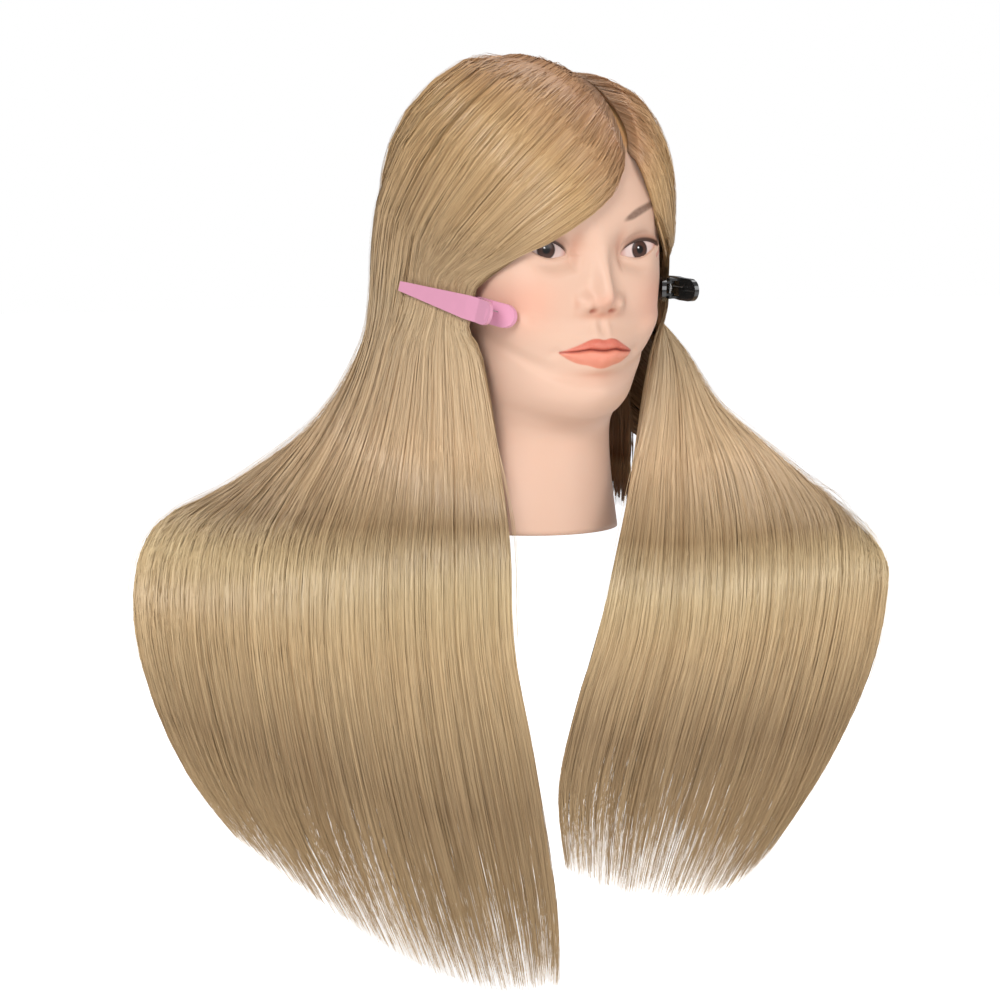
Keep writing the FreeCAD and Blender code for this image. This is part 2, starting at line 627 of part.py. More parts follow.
def torsion_spring(label, clip):
    """Steel coil around the pin, with a straight leg behind each finger pad."""
    radius, pitch, turns = size("spring_radius"), size("spring_pitch"), size("spring_turns")
    leg, rise = size("spring_leg"), size("spring_leg_rise")
    width = pitch * (turns + 0.5)
    points = []
    for step in range(LEG_STEPS, 0, -1):
        part = step / LEG_STEPS
        points.append(FreeCAD.Vector(leg * part, -width / 2, radius + rise * part ** 2))
    coil_steps = int(TURN_STEPS * (turns + 0.5))
    for step in range(coil_steps + 1):
        turn = 2 * math.pi * step / TURN_STEPS
        y = -width / 2 + width * step / coil_steps
        points.append(FreeCAD.Vector(-radius * math.sin(turn), y, radius * math.cos(turn)))
    for step in range(1, LEG_STEPS + 1):
        part = step / LEG_STEPS
        points.append(FreeCAD.Vector(leg * part, width / 2, -radius - rise * part ** 2))
    spring = DOCUMENT.addObject("Part::Feature", label)
    spring.Label = label
    spring.Shape = round_wire(points, size("wire_radius"))
    spring.Placement = clip_placement(clip)
    return spring


def duckbill_clip(colour, clip):
    clip_half(colour + "_clip_upper_jaw", "upper_lug", clip_placement(clip))
    clip_half(colour + "_clip_lower_jaw", "lower_lug", clip_placement(clip, turned_over=True))
    hinge_pin(colour + "_clip_pin", clip)
    torsion_spring(colour + "_clip_spring", clip)


# ---------------------------------------------------------------- hair

def to_head(point):
    """Hair frame to head frame."""
    turn = math.radians(size("drape_turn"))
    x, y, z = point
    return FreeCAD.Vector(x * math.cos(turn) + y * math.sin(turn),
                          y * math.cos(turn) - x * math.sin(turn), z)


def clip_row(clip, fraction, drop):
    """Point between the jaws, fraction 0 at the hinge and 1 near the tip, drop along the strand."""
    hinge, along, across, _ = clip_axes(clip)
    if across.z > 0:
        across = across * -1
    near, far = CLIP_GRIP
    return hinge - along * (near + (far - near) * fraction) + across * drop


def guide_strands(side, clip):
    """The five guide strands of one side, from root to tip, in the head frame."""
    strands = []
    for index in range(5):
        if index < 3:
            upper = [to_head(point) for point in ABOVE[index][side]]
            upper += [clip_row(clip, index / 2, drop) for drop in CLIP_ROW_DROP]
        else:
            upper = [to_head(point) for point in BEHIND[index - 3][side]]
        strands.append(upper + [to_head(point) for point in BELOW[index][side]])
    return strands


def off_scalp(point, clearance):
    """The point, moved straight out from the middle of the scalp if it is nearer than clearance."""
    offset = point - FreeCAD.Vector(*SCALP_CENTRE)
    upward = offset.z if offset.z > 0 else 0.0
    radii = [radius + clearance for radius in SCALP_RADII]
    square = SCALP_SQUARENESS if offset.y < 0 else 2.0
    level = (abs(offset.x / radii[0]) ** square + abs(offset.y / radii[1]) ** square) ** (1 / square)
    depth = math.hypot(level, upward / radii[2])
    if depth >= 1:
        return point
    moved = FreeCAD.Vector(offset.x / depth, offset.y / depth, upward / depth if upward else offset.z)
    return FreeCAD.Vector(*SCALP_CENTRE) + moved


def across_strands(strands, share, row):
    """Point of the hair sheet at one row, share 0 at the face edge and 1 at the back."""
    column = [tuple(strand[row]) for strand in strands]
    if row in CLIP_ROWS and share <= 0.5:
        near, far = FreeCAD.Vector(*column[0]), FreeCAD.Vector(*column[2])
        return near + (far - near) * (share * 2)
    point = FreeCAD.Vector(*smooth_row(column, min(share, 1.0) * 4))
    if row < len(SCALP_CLEARANCE) and point.z > LOWEST_SCALP:
        blend = min(1.0, share / FACE_EDGE)
        clearance = FACE_CLEARANCE[row] + (SCALP_CLEARANCE[row] - FACE_CLEARANCE[row]) * blend
        return off_scalp(point, clearance)
    return point


def smooth_face(poles, across_degree=3):
    """Face that a net of control points pulls into shape, ending on the net's own ends."""
    down_mults, down_knots = clamped(len(poles), 3)
    across_mults, across_knots = clamped(len(poles[0]), across_degree)
    surface = Part.BSplineSurface()
    surface.buildFromPolesMultsKnots(poles, down_mults, across_mults, down_knots, across_knots,
                                     False, False, 3, across_degree)
    return surface.toShape()


def sheet_normal(grid, row, column):
    rows, columns = len(grid), len(grid[0])
    down = grid[min(row + 1, rows - 1)][column] - grid[max(row - 1, 0)][column]
    over = grid[row][min(column + 1, columns - 1)] - grid[row][max(column - 1, 0)]
    return down.cross(over).normalize()


def sheet_solid(grid, thickness):
    """Closed solid of the given thickness per row around a grid of points (rows of columns)."""
    front, back = [], []
    for row, line in enumerate(grid):
        offsets = [sheet_normal(grid, row, column) * (thickness[row] / 2) for column in range(len(line))]
        front.append([point + offset for point, offset in zip(line, offsets)])
        back.append([point - offset for point, offset in zip(line, offsets)])
    faces = [smooth_face(front), smooth_face(back)]
    for edge in (0, -1):
        faces.append(smooth_face([[one[edge], other[edge]] for one, other in zip(front, back)], 1))
        faces.append(smooth_face([[one, other] for one, other in zip(front[edge], back[edge])], 1))
    shell = Part.makeShell(faces)
    shell.sewShape()
    solid = Part.makeSolid(shell)
    if solid.Volume < 0:
        solid.reverse()
    return solid


def lock(label, strands, span, rows=ALL_ROWS, thickness=LOCK_THICKNESS, sink=0.0, columns=6):
    """One lock of hair as a solid sheet between two shares of its side."""
    start, end = span
    grid = []
    for row in range(*rows):
        line = []
        for column in range(columns):
            share = start + (end - start) * column / (columns - 1)
            line.append(across_strands(strands, share, row))
        grid.append(line)
    if sink:
        grid = sunk_grid(grid, sink)
    feature = DOCUMENT.addObject("Part::Feature", label)
    feature.Label = label
    feature.Shape = sheet_solid(grid, [thickness[row] for row in range(*rows)])
    return feature


def sunk_grid(grid, sink):
    """The same grid moved against its normals, which face outwards on the left side only."""
    return [[point - sheet_normal(grid, row, column) * sink for column, point in enumerate(line)]
            for row, line in enumerate(grid)]


def hair(side, clip):
    strands = guide_strands(side, clip)
    gap = size("lock_gap") / 2
    for name, (start, end) in LOCKS.items():
        span = (start + (gap if start > 0 else 0), end - gap)
        lock(f"{side}_{name}_lock", strands, span)
    under = [UNDER_THICKNESS] * len(LOCK_THICKNESS)
    sink = size("under_offset") if side == "left" else -size("under_offset")
    lock(f"{side}_under_lock", strands, UNDER_SPAN, UNDER_ROWS, under, sink, columns=7)


# ---------------------------------------------------------------- build and export

def build():
    head_shell()
    root_backing()
    neck_plug()
    eye("right_eye", -1)
    eye("left_eye", 1)
    duckbill_clip("pink", PINK_CLIP)
    duckbill_clip("black", BLACK_CLIP)
    hair("right", PINK_CLIP)
    hair("left", BLACK_CLIP)
    DOCUMENT.recompute()


def sub_parts():
    """Every finished sub-part: bodies, and part objects that no other object is built from."""
    kinds = ("PartDesign::Body", "Part::Feature", "Part::Sphere", "Part::Cylinder")
    return [thing for thing in DOCUMENT.Objects if thing.TypeId in kinds]


def check_and_export():
    for thing in DOCUMENT.Objects:
        if "Invalid" in thing.State or "Error" in thing.State:
            raise RuntimeError(f"{thing.Name} did not recompute: {thing.State}")
    failed = [thing.Label for thing in sub_parts()
              if thing.Shape.isNull() or not thing.Shape.isValid() or not thing.Shape.Solids]
    if failed:
        raise RuntimeError(f"no valid solid in {failed}")
    os.makedirs("parts", exist_ok=True)
    for thing in sub_parts():
        thing.Shape.exportStep(f"parts/{thing.Label}.step")


build()
check_and_export()
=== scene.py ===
"""Looks of the mannequin training head: vinyl head with a painted face, glossy eyes, long straight
hair in two curtains, and two duckbill clips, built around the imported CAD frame.

Working units are millimetres in the head frame: origin at the clamp socket's mouth, +Z up the neck,
-Y where the face looks, +X the mannequin's left. The hair frame is the same, turned about Z, so that
its x runs along the edge the curtains hang over.
"""

import json
import math

import bpy
import numpy as np
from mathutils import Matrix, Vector


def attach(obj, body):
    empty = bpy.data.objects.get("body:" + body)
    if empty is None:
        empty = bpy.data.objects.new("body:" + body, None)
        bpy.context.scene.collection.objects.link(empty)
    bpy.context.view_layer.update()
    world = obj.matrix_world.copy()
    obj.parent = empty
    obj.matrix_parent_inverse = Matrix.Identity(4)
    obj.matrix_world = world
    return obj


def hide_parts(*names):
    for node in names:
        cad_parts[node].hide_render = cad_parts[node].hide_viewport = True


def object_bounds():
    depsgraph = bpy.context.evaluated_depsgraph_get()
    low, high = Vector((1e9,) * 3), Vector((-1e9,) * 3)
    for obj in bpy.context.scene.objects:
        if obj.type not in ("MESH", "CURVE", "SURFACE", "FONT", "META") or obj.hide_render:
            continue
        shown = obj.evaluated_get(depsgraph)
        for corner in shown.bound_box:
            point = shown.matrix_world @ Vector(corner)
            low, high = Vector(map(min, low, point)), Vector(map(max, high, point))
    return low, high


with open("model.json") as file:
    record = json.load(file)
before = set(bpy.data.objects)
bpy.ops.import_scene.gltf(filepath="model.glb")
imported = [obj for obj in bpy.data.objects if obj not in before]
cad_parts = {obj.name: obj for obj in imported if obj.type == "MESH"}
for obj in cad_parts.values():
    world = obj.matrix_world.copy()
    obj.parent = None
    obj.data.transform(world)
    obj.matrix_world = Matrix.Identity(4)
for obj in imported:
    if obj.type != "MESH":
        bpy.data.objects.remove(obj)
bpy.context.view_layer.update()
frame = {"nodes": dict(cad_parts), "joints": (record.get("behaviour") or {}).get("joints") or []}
random = np.random.default_rng(7)

MM = 0.001
DRAPE_TURN = math.radians(30)

# Stage: the floor's half side and its drop below the lowest tips, in metres.
FLOOR_REACH, FLOOR_DROP = 12.0, 0.006
# Lamps in the hair frame: place in millimetres, power in watts, side in metres.
LAMPS = (
    ("key", (-550, -1500, 800), 19.0, 0.6),
    ("fill", (1000, -1000, 700), 9.0, 0.9),
    ("top", (100, 300, 1300), 6.5, 0.8),
)
# Camera in the hair frame: the point it looks at, its distance, the width it sees there and its tilt.
VIEW_AIM = (-19.6, 0.0, 15.7)
VIEW_DISTANCE, VIEW_WIDTH, VIEW_TILT = 1400.0, 653.0, math.radians(7)

# Midline of the head: height and depth of each slanted section's front and back points, its half
# width, how square its front half is, and how far its sides rise above its midline.
HEAD_SECTIONS = np.array((
    # front y, front z, back y, back z, half width, squareness, rise of the sides
    (-57.0, 0.0, 57.0, 0.0, 57.0, 2.0, 0.0),
    (-54.0, 24.0, 56.0, 26.0, 54.0, 2.0, 0.0),
    (-52.0, 46.0, 58.0, 52.0, 52.5, 2.0, 0.0),
    (-52.0, 62.0, 62.0, 78.0, 53.0, 2.0, 2.0),
    (-60.0, 70.0, 68.0, 92.0, 54.5, 2.0, 8.0),
    (-72.0, 75.0, 74.0, 106.0, 57.0, 2.0, 14.0),
    (-80.0, 82.0, 80.0, 118.0, 60.0, 2.05, 19.0),
    (-84.0, 91.0, 86.0, 132.0, 63.0, 2.1, 21.0),
    (-82.5, 99.0, 90.0, 146.0, 65.5, 2.2, 20.0),
    (-85.0, 107.0, 93.0, 156.0, 67.5, 2.35, 17.0),
    (-87.5, 117.0, 95.0, 166.0, 69.0, 2.5, 13.0),
    (-88.0, 125.0, 97.0, 175.0, 70.0, 2.6, 9.0),
    (-84.5, 134.0, 98.0, 182.0, 71.0, 2.7, 6.0),
    (-83.5, 144.0, 98.5, 190.0, 72.0, 2.75, 3.0),
    (-83.5, 155.0, 98.5, 197.0, 73.0, 2.75, 1.0),
    (-83.5, 167.0, 98.5, 204.0, 73.5, 2.7, 0.0),
    (-84.5, 179.0, 98.0, 210.0, 74.0, 2.6, 0.0),
    (-86.5, 190.0, 98.0, 215.0, 74.0, 2.5, 0.0),
    (-88.0, 202.0, 98.0, 221.0, 74.0, 2.4, 0.0),
    (-88.0, 216.0, 97.0, 229.0, 74.0, 2.3, 0.0),
    (-84.0, 232.0, 94.0, 239.0, 72.0, 2.2, 0.0),
    (-76.0, 249.0, 89.0, 250.0, 67.5, 2.1, 0.0),
    (-63.0, 265.0, 79.0, 262.0, 59.0, 2.0, 0.0),
    (-45.0, 278.0, 64.0, 274.0, 46.0, 2.0, 0.0),
    (-26.0, 286.5, 46.0, 284.0, 31.0, 2.0, 0.0),
    (-8.0, 290.7, 28.0, 290.0, 16.0, 2.0, 0.0),
))
# The inner skin keeps this far behind the face, so that the deep eye corners stay inside the wall.
SHELL_WALL, BEHIND_FACE = 3.5, 9.0
# Eyes, lips and brows: where an eye opens and how wide, half the mouth, and a brow's ends.
LID_INNER, LID_WIDTH = 18.5, 30.0
MOUTH_HALF, LIP_HEIGHT = 26.4, 117.0
BROW_INNER, BROW_LENGTH, BROW_HEIGHT = 15.0, 34.0, 196.2
# Eye inserts: middle of the front, half sizes of the dome, and how much it turns outwards.
EYE_X, EYE_Z, EYE_FRONT = 34.0, 178.5, -75.5
EYE_WIDE, EYE_DEEP, EYE_TALL, EYE_TURN = 27.0, 14.0, 17.0, 0.12
IRIS_RADIUS, PUPIL_RADIUS, EYE_SPAN = 6.1, 2.6, 15.0

# Guide strands of the hair, hair frame: five a side, from the face edge (first) to the back (last).
# The first three pass between the jaws of that side's clip, so they have no points of their own there.
ABOVE = (
    {"right": ((54, -62, 238), (44, -79, 211), (19, -89, 190), (-9, -89, 174)),
     "left": ((60, -53, 239), (67, -57, 223), (77, -46, 201), (84, -34, 182))},
    {"right": ((45, -41, 270), (26, -85, 238), (-5, -92, 208), (-34, -87, 180)),
     "left": ((50, -36, 269), (67, -43, 248), (84, -29, 215), (88, -10, 187))},
    {"right": ((29, -12, 289), (-4, -69, 266), (-38, -76, 229), (-64, -60, 190)),
     "left": ((33, -6, 287), (66, -6, 265), (83, 18, 228), (82, 42, 193))},
)
BEHIND = (
    {"right": ((10, 20, 296), (-38, -24, 285), (-74, -20, 256), (-93, -6, 216), (-99, 8, 188),
               (-101, 18, 165), (-103, 28, 141)),
     "left": ((14, 26, 294), (48, 36, 282), (58, 68, 250), (44, 88, 210), (42, 91, 178),
              (48, 91, 158), (60, 89, 139))},
    {"right": ((-8, 52, 290), (-31, 70, 274), (-51, 90, 238), (-57, 95, 205), (-59, 96, 182),
               (-62, 96, 160), (-68, 95, 141)),
     "left": ((-5, 59, 287), (-21, 76, 270), (-40, 96, 236), (-46, 100, 205), (-44, 100, 178),
              (-36, 101, 158), (-22, 101, 139))},
)
BELOW = (
    {"right": ((-32, -75, 115), (-26, -66, 84), (-21, -58, 50), (-16, -62, 17), (-13, -76, -12),
               (-11, -84, -68), (2, -84, -137), (16, -82, -228), (18, -80, -284)),
     "left": ((80, -6, 116), (73, -14, 79), (66, -28, 43), (58, -56, 10), (50, -78, -20),
              (42, -84, -58), (29, -84, -99), (17, -82, -157), (22, -80, -209))},
    {"right": ((-61, -59, 117), (-62, -52, 84), (-64, -49, 50), (-66, -58, 16), (-68, -74, -13),
               (-67, -84, -68), (-57, -86, -143), (-38, -84, -227), (-23, -80, -287)),
     "left": ((92, 20, 112), (96, 4, 76), (98, -20, 41), (98, -56, 8), (96, -78, -22),
              (92, -85, -60), (80, -85, -108), (66, -84, -165), (58, -80, -224))},
    {"right": ((-84, -36, 118), (-92, -26, 83), (-102, -26, 48), (-113, -44, 15), (-121, -68, -13),
               (-122, -82, -62), (-114, -85, -124), (-96, -84, -201), (-71, -80, -271)),
     "left": ((102, 46, 110), (121, 32, 74), (146, 4, 41), (156, -46, 12), (157, -74, -14),
              (153, -84, -52), (142, -84, -102), (124, -82, -162), (98, -80, -228))},
    {"right": ((-108, 36, 117), (-124, 38, 83), (-146, 26, 49), (-172, -10, 17), (-187, -56, -5),
               (-189, -78, -48), (-181, -82, -106), (-164, -82, -170), (-130, -80, -232)),
     "left": ((84, 83, 110), (116, 70, 74), (160, 34, 41), (193, -34, 15), (199, -68, -8),
              (195, -78, -44), (184, -81, -95), (164, -80, -157), (130, -78, -218))},
    {"right": ((-84, 90, 116), (-114, 80, 84), (-154, 60, 50), (-200, 12, 21), (-238, -38, 3),
               (-248, -68, -34), (-240, -74, -88), (-216, -76, -146), (-183, -76, -191)),
     "left": ((12, 100, 110), (46, 96, 76), (92, 80, 43), (176, 10, 19), (217, -58, -8),
              (220, -70, -38), (210, -74, -84), (186, -76, -138), (152, -76, -192))},
)
LAST_ROW = 15
CLIP_ROWS = (4, 5, 6)
CLIP_ROW_DROP = (-14.0, 0.0, 14.0)
CLIP_GRIP = (6.0, 59.0)
SCALP_CENTRE = np.array((0.0, 6.0, 212.0))
SCALP_RADII = np.array((74.0, 92.0, 80.0))
# Shares of a side that its pieces of hair cover, and how far under the outer sheet the lower one lies.
BANDS = {"front": (0.0, 0.34), "side": (0.34, 0.68), "back": (0.68, 1.0)}
UNDER_SPAN, UNDER_DEPTH = (0.54, 0.98), 8.5
NAPE_SPAN = (0.5, 1.0)
# Strands gather in clumps this wide (as a share of a side), and their roots start this deep.
CLUMP_SIZE, ROOT_DEPTH = 0.022, 5.0
STRANDS_A_STRIP = 256
OUTWARD = {"left": 1.0, "right": -1.0}
# Hair of the nape: ring around the back of the neck, as turns from straight behind and heights.
NAPE_TURNS = (200, 150, 100, 50, 0)
NAPE_HEIGHTS = (122.0, 6.0)
NAPE_HALF_WIDTH, NAPE_CENTRE, NAPE_DEPTH = 74.0, 6.0, 79.0
CLIP_SIDE = {"right": "pink", "left": "black"}
# How far the two sides' last strands close up on each other at the back, row by row.
BACK_JOIN = np.array((1.0, 1.2, 1.2, 1.2, 1.0, 0.5, 0.2, 0, 0, 0, 0, 0, 0, 0, 0, 0))


# ---------------------------------------------------------------- numbers and meshes

def smooth_step(x, low, high):
    """0 below low, 1 above high and a smooth rise between them."""
    part = np.clip((x - low) / (high - low), 0, 1)
    return part * part * (3 - 2 * part)


def bell(across, up, centre, spread):
    """Bell of height 1 around a point of the face, seen from the front."""
    return np.exp(-((across - centre[0]) / spread[0]) ** 2 - ((up - centre[1]) / spread[1]) ** 2)


def soft_max(a, b, softness):
    """The larger of two surfaces, rounded where they meet."""
    share = np.clip(0.5 + 0.5 * (a - b) / softness, 0, 1)
    return b * (1 - share) + a * share + softness * share * (1 - share)


def catmull_rom(table, position, axis=0):
    """Smooth values between the rows of a table, at an array of positions along one axis."""
    table = np.moveaxis(table, axis, 0)
    last = len(table) - 1
    index = np.clip(position.astype(int), 0, last - 1)
    part = (position - index).reshape((-1,) + (1,) * (table.ndim - 1))
    a, b = table[np.maximum(index - 1, 0)], table[index]
    c, d = table[index + 1], table[np.minimum(index + 2, last)]
    value = 0.5 * (2 * b + (c - a) * part + (2 * a - 5 * b + 4 * c - d) * part ** 2
                   + (3 * b - a - 3 * c + d) * part ** 3)
    return np.moveaxis(value, 0, axis)


def to_head(points):
    """Hair frame to head frame."""
    points = np.asarray(points, float)
    x, y, z = points[..., 0], points[..., 1], points[..., 2]
    cos, sin = math.cos(DRAPE_TURN), math.sin(DRAPE_TURN)
    return np.stack((x * cos + y * sin, y * cos - x * sin, z), axis=-1)


def mesh_piece(name, vertices, faces, material, body, attributes=None, uvs=None, replaces=()):
    """A smooth mesh piece from millimetre vertices, riding on a CAD body."""
    mesh = bpy.data.meshes.new(name)
    faces = np.asarray(faces, np.int32)
    corners = faces.shape[1]
    mesh.vertices.add(len(vertices))
    mesh.vertices.foreach_set("co", (np.asarray(vertices, np.float32) * MM).ravel())
    mesh.loops.add(faces.size)
    mesh.loops.foreach_set("vertex_index", faces.ravel())
    mesh.polygons.add(len(faces))
    mesh.polygons.foreach_set("loop_start", np.arange(0, faces.size, corners, dtype=np.int32))
    mesh.polygons.foreach_set("use_smooth", np.ones(len(faces), bool))
    for key, values in (attributes or {}).items():
        kind, field = ("FLOAT", "value") if np.ndim(values) == 1 else ("FLOAT_VECTOR", "vector")
        layer = mesh.attributes.new(key, kind, "POINT")
        layer.data.foreach_set(field, np.asarray(values, np.float32).ravel())
    for key, values in (uvs or {}).items():
        layer = mesh.uv_layers.new(name=key)
        layer.data.foreach_set("uv", np.asarray(values, np.float32)[faces.ravel()].ravel())
    mesh.update(calc_edges=True)
    mesh.validate()
    mesh.materials.append(material)
    piece = bpy.data.objects.new(name, mesh)
    bpy.context.scene.collection.objects.link(piece)
    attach(piece, body)
    if replaces:
        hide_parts(*replaces)
    return piece


def grid_faces(rows, columns, closed=False, start=0):
    """Quads of a grid of vertices, row by row, closed around its columns or not."""
    last = columns if closed else columns - 1
    row, column = np.meshgrid(np.arange(rows - 1), np.arange(last), indexing="ij")
    here, after = row * columns + column, row * columns + (column + 1) % columns
    return start + np.stack((here, after, after + columns, here + columns), axis=-1).reshape(-1, 4)


# ---------------------------------------------------------------- materials

class Nodes:
    """Short way to build a Principled material from nodes."""

    def __init__(self, name):
        self.material = bpy.data.materials.new(name)
        self.material.use_nodes = True
        self.tree = self.material.node_tree
        self.shader = self.tree.nodes["Principled BSDF"]

    def node(self, kind, settings):
        node = self.tree.nodes.new(kind)
        for key, value in settings.items():
            setattr(node, key, value)
        return node

    def put(self, socket, value):
        if isinstance(value, bpy.types.NodeSocket):
            self.tree.links.new(value, socket)
        else:
            socket.default_value = value

    def set(self, **inputs):
        for key, value in inputs.items():
            self.put(self.shader.inputs[key.replace("_", " ")], value)

    def attribute(self, name):
        return self.node("ShaderNodeAttribute", {"attribute_name": name})

    def math(self, operation, a, b=0.0):
        node = self.tree.nodes.new("ShaderNodeMath")
        node.operation = operation
        self.put(node.inputs[0], a)
        self.put(node.inputs[1], b)
        return node.outputs[0]

    def mix(self, share, a, b, blend="MIX"):
        node = self.tree.nodes.new("ShaderNodeMix")
        node.data_type, node.blend_type = "RGBA", blend
        self.put(node.inputs[0], share)
        self.put(node.inputs[6], a)
        self.put(node.inputs[7], b)
        return node.outputs[2]

    def ramp(self, value, stops):
        node = self.tree.nodes.new("ShaderNodeValToRGB")
        self.put(node.inputs[0], value)
        ramp = node.color_ramp
        while len(ramp.elements) < len(stops):
            ramp.elements.new(0.5)
        for element, (position, colour) in zip(ramp.elements, stops):
            element.position, element.color = position, (*colour, 1)
        return node.outputs[0]

    def noise(self, scale, detail=3.0, vector=None, stretch=None):
        vector = vector or self.tree.nodes.new("ShaderNodeTexCoord").outputs["Object"]
        if stretch:
            mapping = self.tree.nodes.new("ShaderNodeMapping")
            self.put(mapping.inputs["Vector"], vector)
            mapping.inputs["Scale"].default_value = stretch
            vector = mapping.outputs[0]
        node = self.tree.nodes.new("ShaderNodeTexNoise")
        self.put(node.inputs["Vector"], vector)
        node.inputs["Scale"].default_value = scale
        node.inputs["Detail"].default_value = detail
        return node.outputs["Fac"]

    def bump(self, height, strength, distance):
        node = self.tree.nodes.new("ShaderNodeBump")
        node.inputs["Strength"].default_value = strength
        node.inputs["Distance"].default_value = distance
        self.put(node.inputs["Height"], height)
        self.put(self.shader.inputs["Normal"], node.outputs[0])


def rgb(*channels):
    """Linear colour from 0 to 255 display values."""
    values = [channel / 255 for channel in channels]
    return tuple(v / 12.92 if v <= 0.04045 else ((v + 0.055) / 1.055) ** 2.4 for v in values)


def skin_material():
    """Painted vinyl: warm skin, salmon lips, brown brows, eye shadow, lid lines and painted shade in hollows.
    """
    n = Nodes("vinyl_skin")

    def paint(colour, mask, share, target):
        return n.mix(n.math("MULTIPLY", n.attribute(mask).outputs["Fac"], share), colour, target)

    mottle = n.noise(18.0, 4.0)
    skin = n.mix(mottle, (*rgb(206, 168, 145), 1), (*rgb(214, 179, 158), 1))
    skin = paint(skin, "blush", 0.8, (*rgb(220, 148, 124), 1))
    # painted shade: hollows under the nose, below the lower lip, at the inner eye corners and beside the nose
    skin = paint(skin, "shading", 0.6, (*rgb(186, 118, 90), 1))
    streaks = n.noise(260.0, 3.0)
    # the lips' own salmon paint, with the upper lip painted darker as painted shade on the lip that faces
    # down
    lips = n.mix(n.attribute("upper_lip").outputs["Fac"], (*rgb(218, 134, 110), 1), (*rgb(194, 92, 74), 1))
    lips = n.mix(n.math("MULTIPLY", streaks, 0.5), lips, (*rgb(226, 158, 134), 1))
    skin = n.mix(n.attribute("lips").outputs["Fac"], skin, lips)
    # painted shade: a dark line along the groove between the lips
    skin = paint(skin, "lip_line", 0.75, (*rgb(140, 48, 36), 1))
    skin = paint(skin, "eye_shadow", 0.72, (*rgb(140, 90, 68), 1))
    hairs = n.noise(700.0, 2.0, stretch=(0.3, 1.0, 1.0))
    skin = paint(skin, "brow", n.math("ADD", n.math("MULTIPLY", hairs, 0.3), 0.62), (*rgb(94, 66, 52), 1))
    skin = paint(skin, "lower_line", 0.5, (*rgb(130, 82, 62), 1))
    skin = paint(skin, "lid_line", 0.92, (*rgb(46, 28, 22), 1))
    # painted shade: the nostril hollows darkened
    skin = paint(skin, "nostril", 0.8, (*rgb(166, 88, 64), 1))
    roots = n.noise(420.0, 2.0)
    scalp = n.mix(roots, (*rgb(176, 126, 80), 1), (*rgb(206, 158, 108), 1))
    skin = n.mix(n.attribute("scalp").outputs["Fac"], skin, scalp)
    gloss = n.math("MULTIPLY", n.attribute("lips").outputs["Fac"], -0.1)
    grain = n.noise(1400.0, 2.0)
    rough = n.math("ADD", n.math("ADD", gloss, 0.44), n.math("MULTIPLY", mottle, 0.08))
    n.set(Base_Color=skin, Roughness=rough, Subsurface_Weight=0.12, Subsurface_Scale=0.004,
          Specular_IOR_Level=0.35)
    n.shader.inputs["Subsurface Radius"].default_value = (1.0, 0.45, 0.3)
    n.bump(grain, 0.06, 0.0004)
    return n.material


def eye_material():
    """Glossy painted eye: pupil, streaked brown iris with a dark ring, warm white and a painted highlight."""
    n = Nodes("eye_gloss")
    distance = n.attribute("from_pupil").outputs["Fac"]

    def beyond(edge, softness=0.03):
        return n.ramp(distance, ((edge - softness, (0, 0, 0)), (edge + softness, (1, 1, 1))))

    streaks = n.noise(7.0, 4.0, vector=n.attribute("around_pupil").outputs["Vector"])
    iris = n.mix(streaks, (*rgb(38, 20, 14), 1), (*rgb(86, 54, 42), 1))
    iris = n.mix(beyond(PUPIL_RADIUS / EYE_SPAN), (*rgb(8, 5, 4), 1), iris)
    iris = n.mix(beyond(0.88 * IRIS_RADIUS / EYE_SPAN, 0.04), iris, (*rgb(24, 13, 10), 1))
    veins = n.noise(240.0, 5.0)
    white = n.mix(veins, (*rgb(196, 168, 160), 1), (*rgb(220, 200, 194), 1))
    white = n.mix(beyond(0.95, 0.3), white, (*rgb(196, 138, 122), 1))
    colour = n.mix(beyond(IRIS_RADIUS / EYE_SPAN), iris, white)
    # painted highlight: a white catch-light dot painted on the eye
    colour = n.mix(n.attribute("light_dot").outputs["Fac"], colour, (1, 1, 1, 1))
    n.set(Base_Color=colour, Roughness=0.3, Coat_Weight=0.2, Coat_Roughness=0.05, Specular_IOR_Level=0.25)
    return n.material


